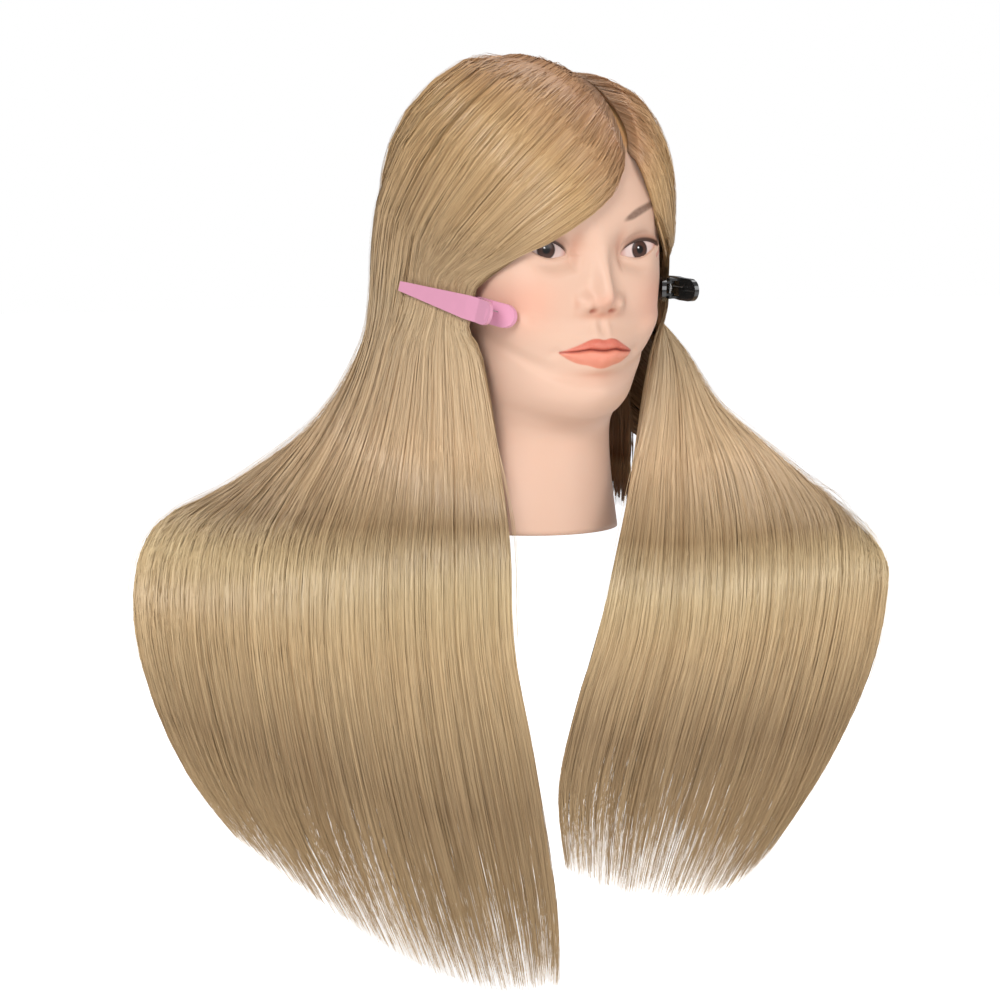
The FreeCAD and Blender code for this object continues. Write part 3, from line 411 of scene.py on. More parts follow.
def hair_material(name, dark=0.0):
    """Ash blonde: warmer root, painted light and shade bands, per-strand tone, fine streaks, highlights
    across the strands.
    """
    n = Nodes(name)
    along = n.attribute("along").outputs["Fac"]
    # Per-strand tone at random, lowered as painted shade on inward ribbons and the inner face of the sheet.
    tone = n.attribute("tone").outputs["Fac"]
    # Along the strands: a warmer root in the hair's own colour; bright stops near 0.60 and 0.755 and dark
    # ones near 0.695 and 0.89 are painted highlight and shade bands over the shoulder bend and below
    stops = (
        (0.0, rgb(140, 82, 34)), (0.035, rgb(172, 108, 44)), (0.10, rgb(206, 165, 105)),
        (0.20, rgb(182, 147, 98)), (0.38, rgb(214, 188, 148)), (0.60, rgb(232, 202, 162)),
        (0.695, rgb(156, 122, 72)), (0.755, rgb(216, 194, 148)), (0.81, rgb(206, 176, 128)),
        (0.89, rgb(148, 112, 58)), (0.95, rgb(176, 142, 90)), (1.0, rgb(194, 164, 120)),
    )
    colour = n.ramp(along, stops)
    streak = n.noise(1.0, 3.0, vector=n.node("ShaderNodeUVMap", {"uv_map": "Strands"}).outputs[0],
                     stretch=(900.0, 9.0, 1.0))
    shade = n.math("ADD", n.math("MULTIPLY", tone, 0.75), n.math("MULTIPLY", streak, 0.25))
    darker = n.mix(1.0, colour, (0.50, 0.42, 0.34, 1), "MULTIPLY")
    lighter = n.mix(0.35, colour, (*rgb(240, 218, 182), 1))
    colour = n.mix(shade, darker, lighter)
    # painted shade: when dark is set, this copy is mixed toward dark brown for hair under the outer layer and
    # at the nape
    if dark:
        colour = n.mix(dark, colour, (*rgb(96, 54, 32), 1))
    tangent = n.node("ShaderNodeTangent", {"direction_type": "UV_MAP", "uv_map": "Strands"})
    n.set(Base_Color=colour, Roughness=n.math("ADD", 0.34, n.math("MULTIPLY", streak, 0.12)),
          Specular_IOR_Level=0.45, Anisotropic=0.75)
    n.put(n.shader.inputs["Tangent"], tangent.outputs[0])
    return n.material


def plastic_material(name, colour, roughness, coat=0.0, grain=0.08):
    n = Nodes(name)
    mottle = n.noise(90.0, 4.0)
    dim = tuple(channel * 0.9 for channel in colour)
    n.set(Base_Color=n.mix(mottle, (*dim, 1), (*colour, 1)),
          Roughness=n.math("ADD", roughness, n.math("MULTIPLY", mottle, 0.08)), Coat_Weight=coat,
          Coat_Roughness=0.08)
    n.bump(n.noise(700.0, 2.0), grain, 0.0003)
    return n.material


def steel_material():
    n = Nodes("steel")
    scratches = n.noise(600.0, 3.0, stretch=(1.0, 0.1, 1.0))
    n.set(Base_Color=n.mix(scratches, (*rgb(168, 166, 164), 1), (*rgb(214, 213, 212), 1)), Metallic=1.0,
          Roughness=n.math("ADD", 0.2, n.math("MULTIPLY", scratches, 0.16)))
    return n.material


# ---------------------------------------------------------------- head

def eye_dome(across, up, grow=0.0):
    """Depth of the domed eye insert, or of a shell around it, away from the middle of the eye."""
    level = np.clip(1 - (across / EYE_WIDE) ** 2 - (up / EYE_TALL) ** 2, 0.08, 1)
    return EYE_FRONT + EYE_DEEP - (EYE_DEEP + grow) * np.sqrt(level) + EYE_TURN * across


def lid_edges(across):
    """Heights of the upper and lower lid edge over the face, and how far along the eye that is."""
    share = (across - LID_INNER) / LID_WIDTH
    inner = np.clip(share, 0, 1)
    middle = 175.2 + 6.6 * inner
    upper = middle + 5.4 * np.sin(np.pi * inner ** 0.84) ** 0.85
    lower = middle - 5.1 * np.sin(np.pi * inner ** 1.12) ** 0.9
    return upper, lower, share


def lip_lines(across):
    """Heights of the line between the lips, of their top and bottom, and the share to the corner."""
    share = np.clip(across / MOUTH_HALF, 0, 1)
    line = LIP_HEIGHT + 0.9 * np.exp(-((across - 9) / 5) ** 2) - 0.9 * share ** 2
    top = line + 8.0 * (1 - share ** 1.35) - 1.3 * np.exp(-(across / 3.0) ** 2)
    bottom = line - 11.0 * (1 - share ** 1.9) ** 0.85
    return line, top, bottom, share


def nose_rise(side, z):
    """Bridge, rounded tip and wings of the nose, forward of the plain face."""
    heights = (134, 138, 140.5, 143, 146, 149.5, 153, 158, 165, 173, 180, 186, 192, 202)
    rises = (0, 0.8, 3.2, 7.0, 10.8, 12.8, 12.6, 11.0, 8.4, 5.4, 3.2, 1.8, 0.7, 0)
    fine = np.linspace(134, 202, 137)
    padded = np.pad(np.interp(fine, heights, rises), 4, mode="edge")
    smooth = np.convolve(padded, np.hanning(11)[1:-1] / 5.0, "valid")
    ridge = np.interp(z, fine, smooth)
    width = np.interp(z, (136, 143, 149, 155, 162, 170, 178, 190), (9, 9.8, 10.2, 8.8, 7.8, 7.8, 9, 13))
    bridge = ridge * np.exp(-(1.28 * side / width) ** 2.2)
    wing = 6.6 * np.exp(-(((side - 10.6) / 6.2) ** 2 + ((z - 145.8) / 6.4) ** 2) ** 1.15)
    return soft_max(bridge, wing, 5.5) - 1.0 * np.exp(-(bridge ** 2 + wing ** 2) / 9)


def face_relief(x, z, plain_y):
    """Depth of the moulded face over the plain head, and its painted masks."""
    side = np.abs(x)
    relief = nose_rise(side, z)
    nostril = bell(side, z, (6.8, 141.3), (3.4, 1.9))
    relief -= 2.4 * nostril
    relief -= 3.4 * bell(side, z, (31, 183), (17, 11)) + 3.6 * bell(side, z, (16, 180), (7, 9))
    relief += 1.0 * bell(side, z, (32, 204), (20, 6)) + 1.6 * bell(side, z, (40, 153), (15, 14))
    relief += 2.2 * bell(side, z, (0, 91), (13, 9)) - 1.4 * bell(side, z, (0, 101.5), (15, 3.2))
    relief -= 0.8 * bell(side, z, (0, 131), (2.4, 5)) - 0.6 * bell(side, z, (4.8, 131), (2.2, 5))
    muzzle = smooth_step(z, 84, 104) * (1 - smooth_step(z, 126, 148))
    relief -= muzzle * 5.2 * (1 - np.exp(-(side / 19) ** 2)) * (1 - smooth_step(side, 28, 54))

    # Lips: full in the middle, parted by a groove, with a dimple beside each corner.
    line, top, bottom, share = lip_lines(side)
    fullness = np.clip(1 - share ** 2, 0, 1) ** 0.6
    upper = np.clip((z - line) / np.maximum(top - line, 0.6), 0, 1)
    lower = np.clip((line - z) / np.maximum(line - bottom, 0.6), 0, 1)
    relief += fullness * (2.4 * np.sin(np.pi * upper ** 0.75) + 3.4 * np.sin(np.pi * lower ** 0.8))
    relief -= 1.3 * np.exp(-((z - line) / 0.8) ** 2) * (1 - share ** 4)
    relief -= 1.4 * bell(side, z, (28, 116), (3.6, 3.0))

    # Lids: the skin wraps over the domed eye, creases above it and opens in an almond before it.
    edge_upper, edge_lower, along_eye = lid_edges(side)
    end = np.clip(np.maximum(-1.9 * along_eye, along_eye - 1), 0, None) * LID_WIDTH
    outside = np.hypot(np.maximum(np.maximum(z - edge_upper, edge_lower - z), 0), end)
    over = z > (edge_upper + edge_lower) / 2
    crease = np.exp(-((z - edge_upper - 4.6) / 1.2) ** 2) * np.sin(np.pi * np.clip(along_eye, 0, 1)) ** 0.5
    y = plain_y - relief
    dome = eye_dome(side - EYE_X, z - EYE_Z, 1.3)
    lid = np.exp(-(np.maximum(outside - 0.8, 0) / np.where(over, 4.6, 5.6)) ** 2)
    y = y + (dome - y) * lid + 0.7 * crease
    inside = np.minimum(edge_upper - z, z - edge_lower)
    inside = np.where((along_eye > 0) & (along_eye < 1), inside, -1)
    behind = eye_dome(side - EYE_X, z - EYE_Z) + 1.8
    y = y + (behind - y) * smooth_step(inside, 0.0, 1.0) * smooth_step(along_eye, 0.02, 0.10)

    # Paint: brows, lashes, lips and blush, and painted shade in the hollows, the lip groove and the nostrils.
    brow_share = np.clip((side - BROW_INNER) / BROW_LENGTH, 0, 1)
    brow_line = BROW_HEIGHT + 16.5 * brow_share - 5.0 * brow_share ** 3
    brow_half = 0.9 + 2.5 * smooth_step(brow_share, -0.06, 0.3) * (1 - brow_share) ** 0.6
    brow = smooth_step(brow_half - np.abs(z - brow_line), -1.0, 1.1)
    brow *= smooth_step(side, 13.5, 19.0) * (1 - smooth_step(side, 46, 50))
    lid_above = z - edge_upper
    on_lid = smooth_step(along_eye, 0.0, 0.16) * (1 - smooth_step(along_eye, 1.02, 1.14))
    lash_top = 0.5 + 1.2 * np.clip(along_eye, 0, 1)
    lash = smooth_step(lid_above, -1.6, -0.4) * (1 - smooth_step(lid_above, lash_top, lash_top + 1.4))
    masks = {
        "lips": smooth_step(np.minimum(top - z, z - bottom), -0.5, 0.4) * (side < MOUTH_HALF),
        # painted shade: the upper lip, which is painted darker
        "upper_lip": smooth_step(z - line, -0.8, 0.6),
        # painted shade along the groove between the lips
        "lip_line": np.exp(-((z - line) / 0.75) ** 2) * (side < 26.0),
        "brow": brow,
        "eye_shadow": np.exp(-(np.maximum(lid_above - 1.0, 0) / 4.2) ** 2) * on_lid * (lid_above > -1),
        "lid_line": np.clip(lash * on_lid, 0, 1),
        "lower_line": np.exp(-((z - edge_lower + 0.1) / 0.7) ** 2) * on_lid
        * smooth_step(along_eye, 0.1, 0.5),
        "blush": 0.5 * bell(side, z, (46, 146), (17, 16)) + 0.35 * bell(side, z, (0, 147), (10, 6)),
        # painted shade in the hollows of the face
        "shading": np.clip(
            bell(side, z, (0, 138.5), (13, 2.2)) + 0.8 * bell(side, z, (0, 102), (14, 3.0))
            + 0.7 * bell(side, z, (15.5, 181), (4.5, 9)) + 0.5 * bell(side, z, (17.5, 146), (1.6, 5)), 0, 1),
        # painted shade in the nostril hollows
        "nostril": np.clip(1.5 * nostril - 0.4, 0, 1),
    }
    return y, masks


def head_rows():
    """Positions up the head, close together over the face."""
    face = np.linspace(6.6, 18.6, 215)
    return np.concatenate((np.linspace(0, 6.5, 34), face, np.linspace(18.8, 25, 36)))


def head_columns():
    """Front and back columns as angles from the front, close together near the middle of the face."""
    dense = np.linspace(0, 0.52, 96)
    front = np.concatenate((dense, np.linspace(0.55, 1.0, 26)))
    back = np.linspace(1.06, 1.94, 22)
    half = np.concatenate((front, back))
    return np.concatenate((half, [2.0], 4.0 - half[:0:-1]))


def head_grid(positions, columns, inset):
    """Plain head surface, positions by columns, with columns running from 0 to 4 around the head."""
    sections = catmull_rom(HEAD_SECTIONS, positions).T[:, :, None]
    front_y, front_z, back_y, back_z, width, square, rise = sections
    columns = np.broadcast_to(columns, (len(positions), len(columns)))
    quarter = np.minimum(columns, 4 - columns)
    sign = np.where(columns <= 2, 1.0, -1.0)
    angle = quarter * np.pi / 2
    across = np.sin(angle)
    frontal = -np.clip(1 - np.clip(across, 0, 1) ** square, 0, 1) ** (1 / square)
    along = np.where(quarter <= 1, frontal, np.cos(np.pi - angle))
    length = np.hypot(back_y - front_y, back_z - front_z) / 2
    slope_y, slope_z = (back_y - front_y) / 2 / length, (back_z - front_z) / 2 / length
    x = sign * across * (width - inset)
    y = (front_y + back_y) / 2 + slope_y * along * (length - inset)
    z = (front_z + back_z) / 2 + slope_z * along * (length - inset) + rise * across ** 2
    return x, y, z


def build_head():
    """Hollow vinyl head: moulded and painted outer skin, plain inner skin, open at the neck."""
    positions, columns = head_rows(), head_columns()
    x, y, z = head_grid(positions, columns, 0.0)
    front = smooth_step(-y, 15, 45)
    moulded, masks = face_relief(x, z, y)
    y = y + (moulded - y) * front
    masks = {key: mask * smooth_step(-y, 20, 35) for key, mask in masks.items()}
    edge = 236 - 0.010 * (np.abs(x) - 10) ** 2 - 1.15 * np.clip(y + 66, 0, None)
    masks["scalp"] = smooth_step(z - edge, 0, 9) * smooth_step(z, 70, 95)
    outer = np.stack((x, y, z), axis=-1).reshape(-1, 3)
    inner_rows = np.linspace(0, 25, 30)
    inner = np.stack(head_grid(inner_rows, columns, SHELL_WALL), axis=-1)
    inner[..., 2] -= SHELL_WALL * smooth_step(inner_rows, 21, 25)[:, None]
    behind_face = smooth_step(inner[..., 2], 70, 100) * (1 - smooth_step(inner[..., 2], 200, 225))
    inner[..., 1] += BEHIND_FACE * behind_face * smooth_step(-inner[..., 1], 10, 50)
    inner = inner.reshape(-1, 3)
    count, wide = len(outer), len(columns)
    vertices = np.concatenate((outer, inner, [outer[-wide:].mean(axis=0), inner[-wide:].mean(axis=0)]))
    ring = np.arange(wide)
    after = (ring + 1) % wide
    faces = [grid_faces(len(positions), wide, True)[:, ::-1], grid_faces(len(inner_rows), wide, True, count)]
    faces.append(np.stack((ring, after, count + after, count + ring), axis=-1))
    top, inner_top = count - wide, count + len(inner) - wide
    last = len(vertices) - 2
    crown = np.stack((top + after, top + ring, np.full(wide, last)), axis=-1)
    inner_crown = np.stack((inner_top + ring, inner_top + after, np.full(wide, last + 1)), axis=-1)
    quads = np.concatenate(faces)
    triangles = np.concatenate((crown, inner_crown, quads[:, [0, 1, 2]], quads[:, [0, 2, 3]]))
    fill = {key: np.concatenate((mask.ravel(), np.zeros(len(inner) + 2))) for key, mask in masks.items()}
    fill["scalp"][-2] = 1.0
    mesh_piece("vinyl_head", vertices, triangles, skin_material(), "head", fill, None,
               ("head_shell",))


def build_eye(name, side, material):
    """Domed eye insert with its iris in the middle of the opening."""
    rings, spokes, reach = 70, 72, 0.69
    outward = np.linspace(0.0, reach, rings)[:, None]
    turn = np.linspace(0, 2 * np.pi, spokes, endpoint=False)[None, :]
    dx, dz = EYE_WIDE * outward * np.cos(turn), EYE_TALL * outward * np.sin(turn)
    y = eye_dome(side * dx, dz) - 0.4 * np.exp(-(np.hypot(dx, dz) / 6.0) ** 4)
    back = (side * EYE_X, y.max() + 1.0, EYE_Z)
    vertices = np.concatenate((np.stack((side * EYE_X + dx, y, EYE_Z + dz), axis=-1).reshape(-1, 3), [back]))
    # painted highlight: distance from the painted white catch-light dot
    away, catchlight_distance = np.hypot(dx, dz), np.hypot(dx + 1.3, dz - 1.2)
    around = np.stack((np.cos(turn) + 0 * outward, np.sin(turn) + 0 * outward, away * 0.08), axis=-1)
    attributes = {
        "from_pupil": (away / EYE_SPAN).ravel(),
        "light_dot": (1 - smooth_step(catchlight_distance, 0.35, 0.75)).ravel(),
        "around_pupil": around.reshape(-1, 3),
    }
    attributes = {key: np.concatenate((value, value[-1:])) for key, value in attributes.items()}
    faces = grid_faces(rings, spokes, True)
    last = (rings - 1) * spokes + np.arange(spokes)
    after = (rings - 1) * spokes + (np.arange(spokes) + 1) % spokes
    closing = np.stack((last, after, np.full(spokes, len(vertices) - 1)), axis=-1)
    triangles = np.concatenate((faces[:, [0, 1, 2]], faces[:, [0, 2, 3]], closing))
    mesh_piece(name + "_insert", vertices, triangles, material, "head", attributes, None,
               (name,))


# ---------------------------------------------------------------- hair

def clip_line(colour):
    """Hinge and axes of a clip, from its slide and hinge joints in the record."""
    joints = {joint["name"]: joint for joint in frame["joints"]}
    slide, hinge = joints[colour + "_clip_slide"], joints[colour + "_clip_open"]
    along = np.array(slide["axis"], float)
    across = np.array(hinge["axis"], float)
    anchor = np.array(hinge["pos_m"], float) / MM
    return anchor, along / np.linalg.norm(along), across / np.linalg.norm(across)


def guide_net(side, colour):
    """Five guide strands of sixteen points, head frame."""
    hinge, along, across = clip_line(colour)
    if across[2] > 0:
        across = -across
    near, far = CLIP_GRIP
    strands = []
    for index in range(5):
        if index < 3:
            middle = hinge - along * (near + (far - near) * index / 2)
            gripped = [middle + across * drop for drop in CLIP_ROW_DROP]
            upper = np.concatenate((to_head(ABOVE[index][side]), gripped))
        else:
            upper = to_head(BEHIND[index - 3][side])
        strands.append(np.concatenate((upper, to_head(BELOW[index][side]))))
    return np.array(strands)


def nape_net(side):
    """Guide strands that hang straight down around the back of the neck, head frame."""
    turns = np.radians(NAPE_TURNS)[:, None] * OUTWARD[side]
    heights = np.linspace(*NAPE_HEIGHTS, LAST_ROW + 1)[None, :]
    across = NAPE_HALF_WIDTH * np.sin(turns) + 0 * heights
    back = NAPE_CENTRE + NAPE_DEPTH * np.cos(turns) + 0 * heights
    return np.stack((across, back, heights + 0 * turns), axis=-1)


def off_scalp(points, rows, shares):
    """Points moved out from the middle of the scalp where they come too near it."""
    clearance = np.interp(rows, (0, 0.9, 3, 6.5), (6.5, 13.0, 12.5, 11.0)) + 0 * shares
    clearance = 6.5 + (clearance - 6.5) * smooth_step(shares, -0.05, 0.15)
    offset = points - SCALP_CENTRE
    upward = np.maximum(offset[..., 2], 0)
    radii = SCALP_RADII + clearance[..., None]
    depth = np.sqrt((offset[..., 0] / radii[..., 0]) ** 2 + (offset[..., 1] / radii[..., 1]) ** 2
                    + (upward / radii[..., 2]) ** 2)
    reach = np.where((rows < 7) & (points[..., 2] > 125), 1.0, 0.0)
    out = 1 / np.clip(depth, 0.5, None)
    moved = np.stack((offset[..., 0] * out, offset[..., 1] * out,
                      np.where(offset[..., 2] > 0, offset[..., 2] * out, offset[..., 2])), axis=-1)
    share = (reach * (depth < 1))[..., None]
    return points + (SCALP_CENTRE + moved - points) * share


def sheet(net, shares, rows):
    """Points of a side's hair sheet: shares and rows are strands by points."""
    spread = catmull_rom(net, shares.ravel() * 4).reshape(shares.shape + net.shape[1:])
    straight = np.clip(shares * 2, 0, 1)[..., None]
    for row in CLIP_ROWS:
        gripped = net[0, row] + (net[2, row] - net[0, row]) * straight
        spread[..., row, :] = np.where((shares <= 0.5)[..., None], gripped, spread[..., row, :])
    last = spread.shape[-2] - 1
    index = np.clip(rows.astype(int), 0, last - 1)
    part = (rows - index)[..., None]

    def pick(step):
        return np.take_along_axis(spread, np.clip(index + step, 0, last)[..., None, None], axis=-2)[..., 0, :]

    a, b, c, d = pick(-1), pick(0), pick(1), pick(2)
    points = 0.5 * (2 * b + (c - a) * part + (2 * a - 5 * b + 4 * c - d) * part ** 2
                    + (3 * b - a - 3 * c + d) * part ** 3)
    return off_scalp(points, rows, shares)


def unit(vectors):
    """The same directions with length 1."""
    return vectors / np.maximum(np.linalg.norm(vectors, axis=-1, keepdims=True), 1e-9)


def sheet_frame(net, side, shares, rows):
    """Points of the sheet, with its outward and its across directions."""
    here = sheet(net, shares, rows)
    low, high = np.clip(shares - 0.01, 0, 1), np.clip(shares + 0.01, 0, 1)
    across = unit(sheet(net, high, rows) - sheet(net, low, rows))
    above, below = np.clip(rows - 0.15, 0, LAST_ROW), np.clip(rows + 0.15, 0, LAST_ROW)
    down = unit(sheet(net, shares, below) - sheet(net, shares, above))
    normal = unit(np.cross(down, across)) * OUTWARD[side]
    return here, normal, unit(np.cross(normal, down))


def strand_piece(name, net, side, material, replaces=(), count=2000, span=(0.0, 1.0), rows=(0.0, 15.0),
                 depth=(0.6, 2.6), width=(0.5, 0.95), steps=34, sink=0.0, stray=0.0, both_sides=True,
                 tone=(0.15, 0.85), short=0.06):
    """Flat ribbons of hair along the sheet, each with its own tone, depth, roll and length, inner ones in
    painted shade.
    """
    start = np.sort(random.uniform(*span, count))
    finish = rows[1] - (rows[1] - rows[0]) * np.abs(random.normal(0, 0.045, count))
    early = random.random(count) < short
    finish = np.where(early, rows[1] - (rows[1] - rows[0]) * random.uniform(0.05, 0.28, count), finish)
    part = np.linspace(0, 1, steps + 1) ** 0.96
    row = rows[0] + (finish - rows[0])[:, None] * part
    phase = random.uniform(0, 2 * np.pi, (count, 3))
    clump = (np.floor(start / CLUMP_SIZE) + 0.5) * CLUMP_SIZE
    gather = 0.45 * smooth_step(row, 9, 15)
    share = start[:, None] + (clump - start)[:, None] * gather
    wander = 0.0035 * np.sin(row * 0.55 + phase[:, :1]) + 0.0018 * np.sin(row * 1.7 + phase[:, 1:2])
    drift = random.normal(0, 0.006, count)[:, None] * smooth_step(row, 6, 15)
    share = np.clip(share + (wander + drift) * smooth_step(row, 0.3, 4), span[0] * 0.9, 1)
    points, normal, across = sheet_frame(net, side, share, row)
    face = np.where(random.random(count) < 0.62, 1.0, -1.0) if both_sides else np.ones(count)
    lift = random.uniform(*depth, count) * face
    held = smooth_step(row, 2.6, 4.4) * (1 - smooth_step(row, 5.8, 8.2)) * (share < 0.54)
    lift = lift[:, None] * (1 - 0.72 * held) * (0.35 + 0.65 * smooth_step(row, 0, 1.2))
    lift = lift + 0.35 * np.sin(row * 0.9 + phase[:, 2:3]) * (1 - held)
    lift = lift - ROOT_DEPTH * (1 - smooth_step(row, -0.1, 0.8)) - sink
    if stray:
        away = random.uniform(0.3, 1.0, count)[:, None] * stray
        bow = smooth_step(row, 1.0, 15.0) ** 1.5 * np.sin(row * 0.25 + phase[:, :1])
        lift = lift + away * np.abs(bow) * (1 - held)
        points = points + across * (away * bow * 0.8 * (1 - held))[..., None]
    points = points + normal * lift[..., None]
    roll = random.normal(0, 0.42, count)[:, None] + 0.25 * np.sin(row * 0.6 + phase[:, 1:2])
    lateral = across * np.cos(roll)[..., None] + normal * np.sin(roll)[..., None]
    taper = smooth_step(part, -0.02, 0.03) * (1 - 0.85 * smooth_step(part, 0.78, 1.0))
    half = random.uniform(*width, count)[:, None] / 2 * taper
    ribbon = np.stack((points - lateral * half[..., None], points + lateral * half[..., None]), axis=2)
    length = steps + 1
    index = np.arange(count)[:, None] * length * 2 + np.arange(steps)[None, :] * 2
    quads = np.stack((index, index + 1, index + 3, index + 2), axis=-1).reshape(-1, 4)
    triangles = np.concatenate((quads[:, [0, 1, 2]], quads[:, [0, 2, 3]]))
    own_tone, clump_tone = random.uniform(*tone, count), random.uniform(*tone, count)
    shade = own_tone * 0.7 + 0.3 * clump_tone[(start / CLUMP_SIZE).astype(int)]
    # painted shade: ribbons on the inner side of the sheet are darker
    shade = shade - 0.22 * (face < 0)
    per_point = np.repeat(shade[:, None], length, axis=1)
    along = np.repeat((row / LAST_ROW)[..., None], 2, axis=2)
    attributes = {"along": along.ravel(),
                  "tone": np.clip(np.repeat(per_point[..., None], 2, axis=2), 0, 1).ravel()}
    strips = math.ceil(count / STRANDS_A_STRIP)
    column, strip = np.arange(count) % STRANDS_A_STRIP, np.arange(count) // STRANDS_A_STRIP
    u = (column[:, None, None] + np.array((0.2, 0.8))) / STRANDS_A_STRIP + np.zeros((1, length, 1))
    v = (strip[:, None, None] + 0.04 + 0.92 * part[None, :, None]) / strips + np.zeros((1, 1, 2))
    laid = np.stack((u, v), axis=-1).reshape(-1, 2)
    streak_u = start[:, None, None] + np.array((-0.001, 0.001))
    streak = np.stack((streak_u + np.zeros((1, length, 1)), along), axis=-1)
    return mesh_piece(name, ribbon.reshape(-1, 3), triangles, material, "head", attributes,
                      {"OFBake": laid, "Strands": streak.reshape(-1, 2)}, replaces)


def hair_base(name, net, side, material, replaces=(), span=(0.0, 1.0), rows=(0.0, 14.6), sink=0.6, thick=1.4,
              columns=260, steps=110):
    """Closed sheet of packed hair under the loose strands, with a ragged lower edge and an inner face in
    painted shade.
    """
    share = np.linspace(*span, columns)
    ragged = rows[1] - 1.9 * random.random(columns)
    share = np.repeat(share[:, None], steps + 1, axis=1)
    row = rows[0] + (ragged - rows[0])[:, None] * np.linspace(0, 1, steps + 1)
    points, normal, _ = sheet_frame(net, side, share, row)
    held = smooth_step(row, 2.6, 4.4) * (1 - smooth_step(row, 5.8, 8.2)) * (share < 0.54)
    half = (thick / 2 * (1 - 0.6 * held))[..., None]
    root = ROOT_DEPTH * (1 - smooth_step(row, -0.1, 0.8))
    ridges = 0.25 * np.sin(share * 900 + 0.7 * np.sin(row)) * (1 - held)
    centre = points - normal * (sink + root - ridges)[..., None]
    layers = np.stack((centre + normal * half, centre - normal * half))
    length = steps + 1
    sheet_size = columns * length
    front = grid_faces(columns, length)
    faces = [front, front[:, ::-1] + sheet_size]
    edge = np.arange(steps)
    for column in (0, columns - 1):
        low = column * length + edge
        quad = np.stack((low, low + 1, low + 1 + sheet_size, low + sheet_size), axis=-1)
        faces.append(quad if column == 0 else quad[:, ::-1])
    line = np.arange(columns - 1) * length
    for offset, flip in ((0, True), (steps, False)):
        low = line + offset
        quad = np.stack((low, low + length, low + length + sheet_size, low + sheet_size), axis=-1)
        faces.append(quad[:, ::-1] if flip else quad)
    tone = np.repeat(random.uniform(0.1, 0.55, columns)[:, None], length, axis=1).ravel()
    along = (row / LAST_ROW).ravel()
    uv = np.stack((share.ravel(), along), axis=-1)
    laid = np.concatenate((uv * (0.49, 0.98) + (0.002, 0.01), uv * (0.49, 0.98) + (0.506, 0.01)))
    # painted shade: the inner face of the sheet gets 0.6 of the tone
    return mesh_piece(name, layers.reshape(-1, 3), np.concatenate(faces), material, "head",
                      {"along": np.tile(along, 2), "tone": np.concatenate((tone, tone * 0.6))},
                      {"OFBake": laid, "Strands": np.tile(uv, (2, 1))}, replaces)


def build_hair():
    """Both sides' hair: packed sheet, loose strands, the layer under them and the nape in painted shade, and
    fine stray hairs.
    """
    blonde = hair_material("ash_blonde")
    # painted shade: the under layer and the nape hair use this darker copy of the blonde
    shaded = hair_material("shaded_under_blonde", dark=0.55)
    nets = {side: guide_net(side, colour) for side, colour in CLIP_SIDE.items()}
    parting = (nets["right"][:, 0] + nets["left"][:, 0]) / 2
    back_seam = (nets["right"][-1] + nets["left"][-1]) / 2
    for side, net in nets.items():
        net[:, 0] = parting + (net[:, 0] - parting) * 0.2
        net[-1] += (back_seam - net[-1]) * BACK_JOIN[:, None]
        hair_base(side + "_hair_mass", net, side, blonde)
        for band, span in BANDS.items():
            strand_piece(f"{side}_{band}_hair", net, side, blonde, (f"{side}_{band}_lock",),
                         count=1900, span=span)
        hair_base(side + "_under_mass", net, side, shaded, span=UNDER_SPAN, rows=(2.8, 13.4),
                  sink=UNDER_DEPTH, thick=1.2, columns=90, steps=70)
        strand_piece(side + "_under_hair", net, side, shaded, (side + "_under_lock",), count=1100,
                     span=UNDER_SPAN, rows=(2.8, 13.8), depth=(0.3, 2.0), width=(0.5, 0.9), steps=26,
                     sink=UNDER_DEPTH)
        nape = nape_net(side)
        hair_base(side + "_nape_mass", nape, side, shaded, span=NAPE_SPAN, rows=(0.0, 14.4), thick=1.2,
                  columns=90, steps=60)
        strand_piece(side + "_nape_hair", nape, side, shaded, count=900, span=NAPE_SPAN,
                     depth=(0.3, 2.0), width=(0.5, 0.9), steps=24)
        strand_piece(side + "_flyaway_hair", net, side, blonde, count=420, rows=(0.0, 15.2),
                     depth=(1.5, 4.0), width=(0.14, 0.26), steps=40, stray=9.0, both_sides=False,
                     tone=(0.4, 1.0), short=0.4)


# ---------------------------------------------------------------- clips and plug

def dress(node, material, bevel=0.0):
    """Give a CAD node its material, and soften its moulded edges."""
    piece = frame["nodes"][node]
    piece.data.materials.clear()
    piece.data.materials.append(material)
    if bevel:
        rounding = piece.modifiers.new("moulded_edges", "BEVEL")
        rounding.width, rounding.segments, rounding.limit_method = bevel * MM, 3, "ANGLE"
        rounding.angle_limit = math.radians(35)


def build_clips():
    """Finish the clips' CAD nodes."""
    pink = plastic_material("pink_plastic", rgb(216, 150, 176), 0.36, 0.25)
    black = plastic_material("black_plastic", rgb(30, 29, 28), 0.16, 0.9, 0.03)
    steel = steel_material()
    for colour, plastic in (("pink", pink), ("black", black)):
        for jaw in ("upper", "lower"):
            dress(f"{colour}_clip_{jaw}_jaw", plastic, 0.5)
        for metal in ("pin", "spring"):
            dress(f"{colour}_clip_{metal}", steel)


def build_inside():
    """Finish the CAD nodes inside the head."""
    dress("neck_plug", plastic_material("plug_plastic", rgb(196, 188, 176), 0.5), 0.6)
    dress("root_backing", plastic_material("root_glue", rgb(190, 160, 120), 0.7))


# ---------------------------------------------------------------- stage

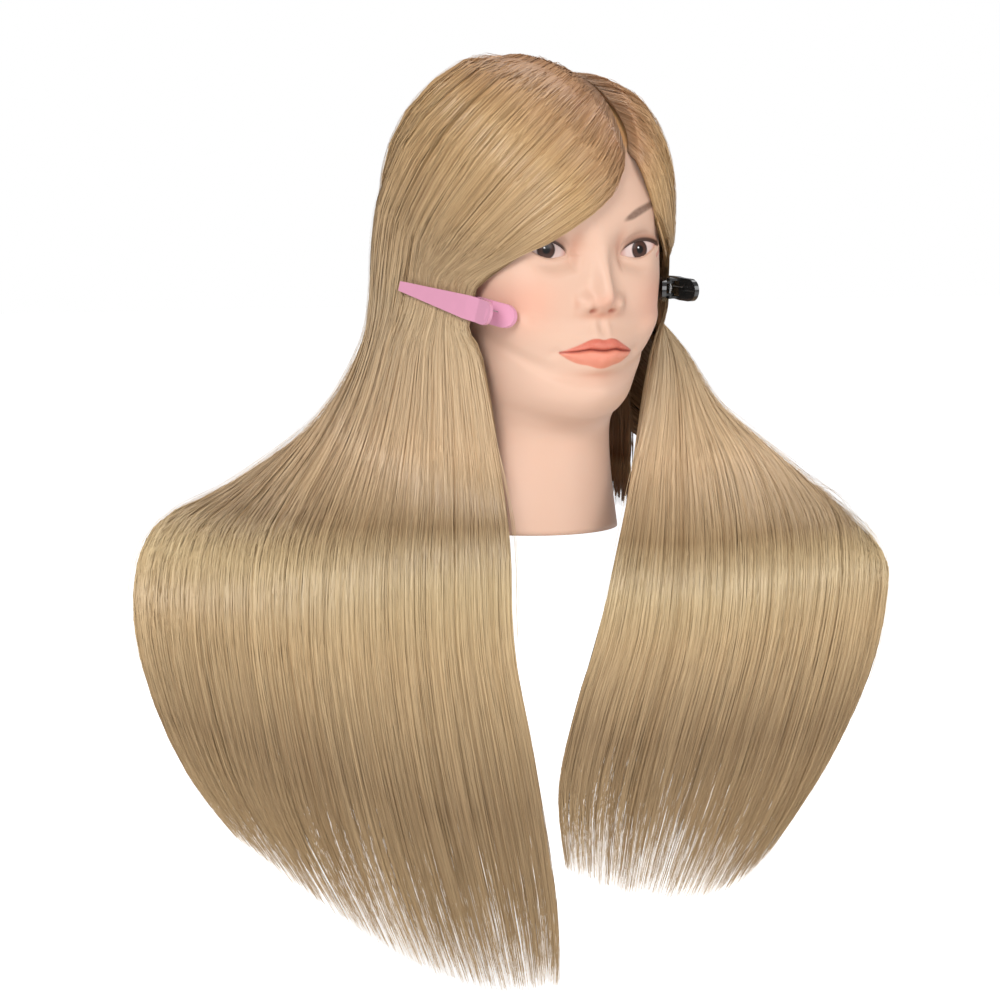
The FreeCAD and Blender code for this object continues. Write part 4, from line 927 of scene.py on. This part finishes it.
def build_stage():
    """Pale floor below the lowest tips, white surroundings, soft lights and the camera."""
    floor_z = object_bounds()[0][2] - FLOOR_DROP
    mesh = bpy.data.meshes.new("floor")
    corners = [(x * FLOOR_REACH, y * FLOOR_REACH, floor_z) for x, y in ((-1, -1), (1, -1), (1, 1), (-1, 1))]
    mesh.from_pydata(corners, [], [(0, 1, 2, 3)])
    paint = Nodes("floor_white")
    speckle = paint.noise(3.0, 2.0)
    seen = paint.tree.nodes.new("ShaderNodeLightPath").outputs["Is Camera Ray"]
    glow = paint.math("ADD", paint.math("MULTIPLY", seen, 0.5), 0.28)
    paint.set(Base_Color=paint.mix(speckle, (0.86, 0.86, 0.86, 1), (0.9, 0.9, 0.9, 1)), Roughness=0.9,
              Emission_Color=(1, 1, 1, 1), Emission_Strength=glow)
    mesh.materials.append(paint.material)
    floor = bpy.data.objects.new("floor", mesh)
    bpy.context.scene.collection.objects.link(floor)

    world = bpy.data.worlds.new("studio")
    bpy.context.scene.world = world
    world.use_nodes = True
    tree = world.node_tree
    path = tree.nodes.new("ShaderNodeLightPath")
    shade = tree.nodes.new("ShaderNodeMix")
    shade.data_type = "RGBA"
    shade.inputs[6].default_value = (0.34, 0.34, 0.35, 1)
    shade.inputs[7].default_value = (1.0, 1.0, 1.0, 1)
    tree.links.new(path.outputs["Is Camera Ray"], shade.inputs[0])
    tree.links.new(shade.outputs[2], tree.nodes["Background"].inputs["Color"])

    def area(name, place, target, power, width):
        light = bpy.data.lights.new(name, "AREA")
        light.energy, light.size = power, width
        lamp = bpy.data.objects.new(name, light)
        bpy.context.scene.collection.objects.link(lamp)
        lamp.location = place
        lamp.rotation_euler = (Vector(target) - Vector(place)).to_track_quat("-Z", "Y").to_euler()

    middle = (0.0, 0.0, 0.08)
    for name, place, power, width in LAMPS:
        area(name, tuple(to_head(place) * MM), middle, power, width)

    camera = bpy.data.objects.new("camera", bpy.data.cameras.new("camera"))
    bpy.context.scene.collection.objects.link(camera)
    aim = np.array(VIEW_AIM)
    place = aim - np.array((0, math.cos(VIEW_TILT), -math.sin(VIEW_TILT))) * VIEW_DISTANCE
    camera.location = tuple(to_head(place) * MM)
    look = Vector(tuple((to_head(aim) - to_head(place)) * MM))
    camera.rotation_euler = look.to_track_quat("-Z", "Y").to_euler()
    camera.data.lens = camera.data.sensor_width * VIEW_DISTANCE / VIEW_WIDTH
    camera.data.clip_end = 50
    bpy.context.scene.camera = camera
    bpy.context.scene.view_settings.view_transform = "Standard"


build_head()
gloss = eye_material()
build_eye("right_eye", -1, gloss)
build_eye("left_eye", 1, gloss)
build_hair()
build_clips()
build_inside()
build_stage()
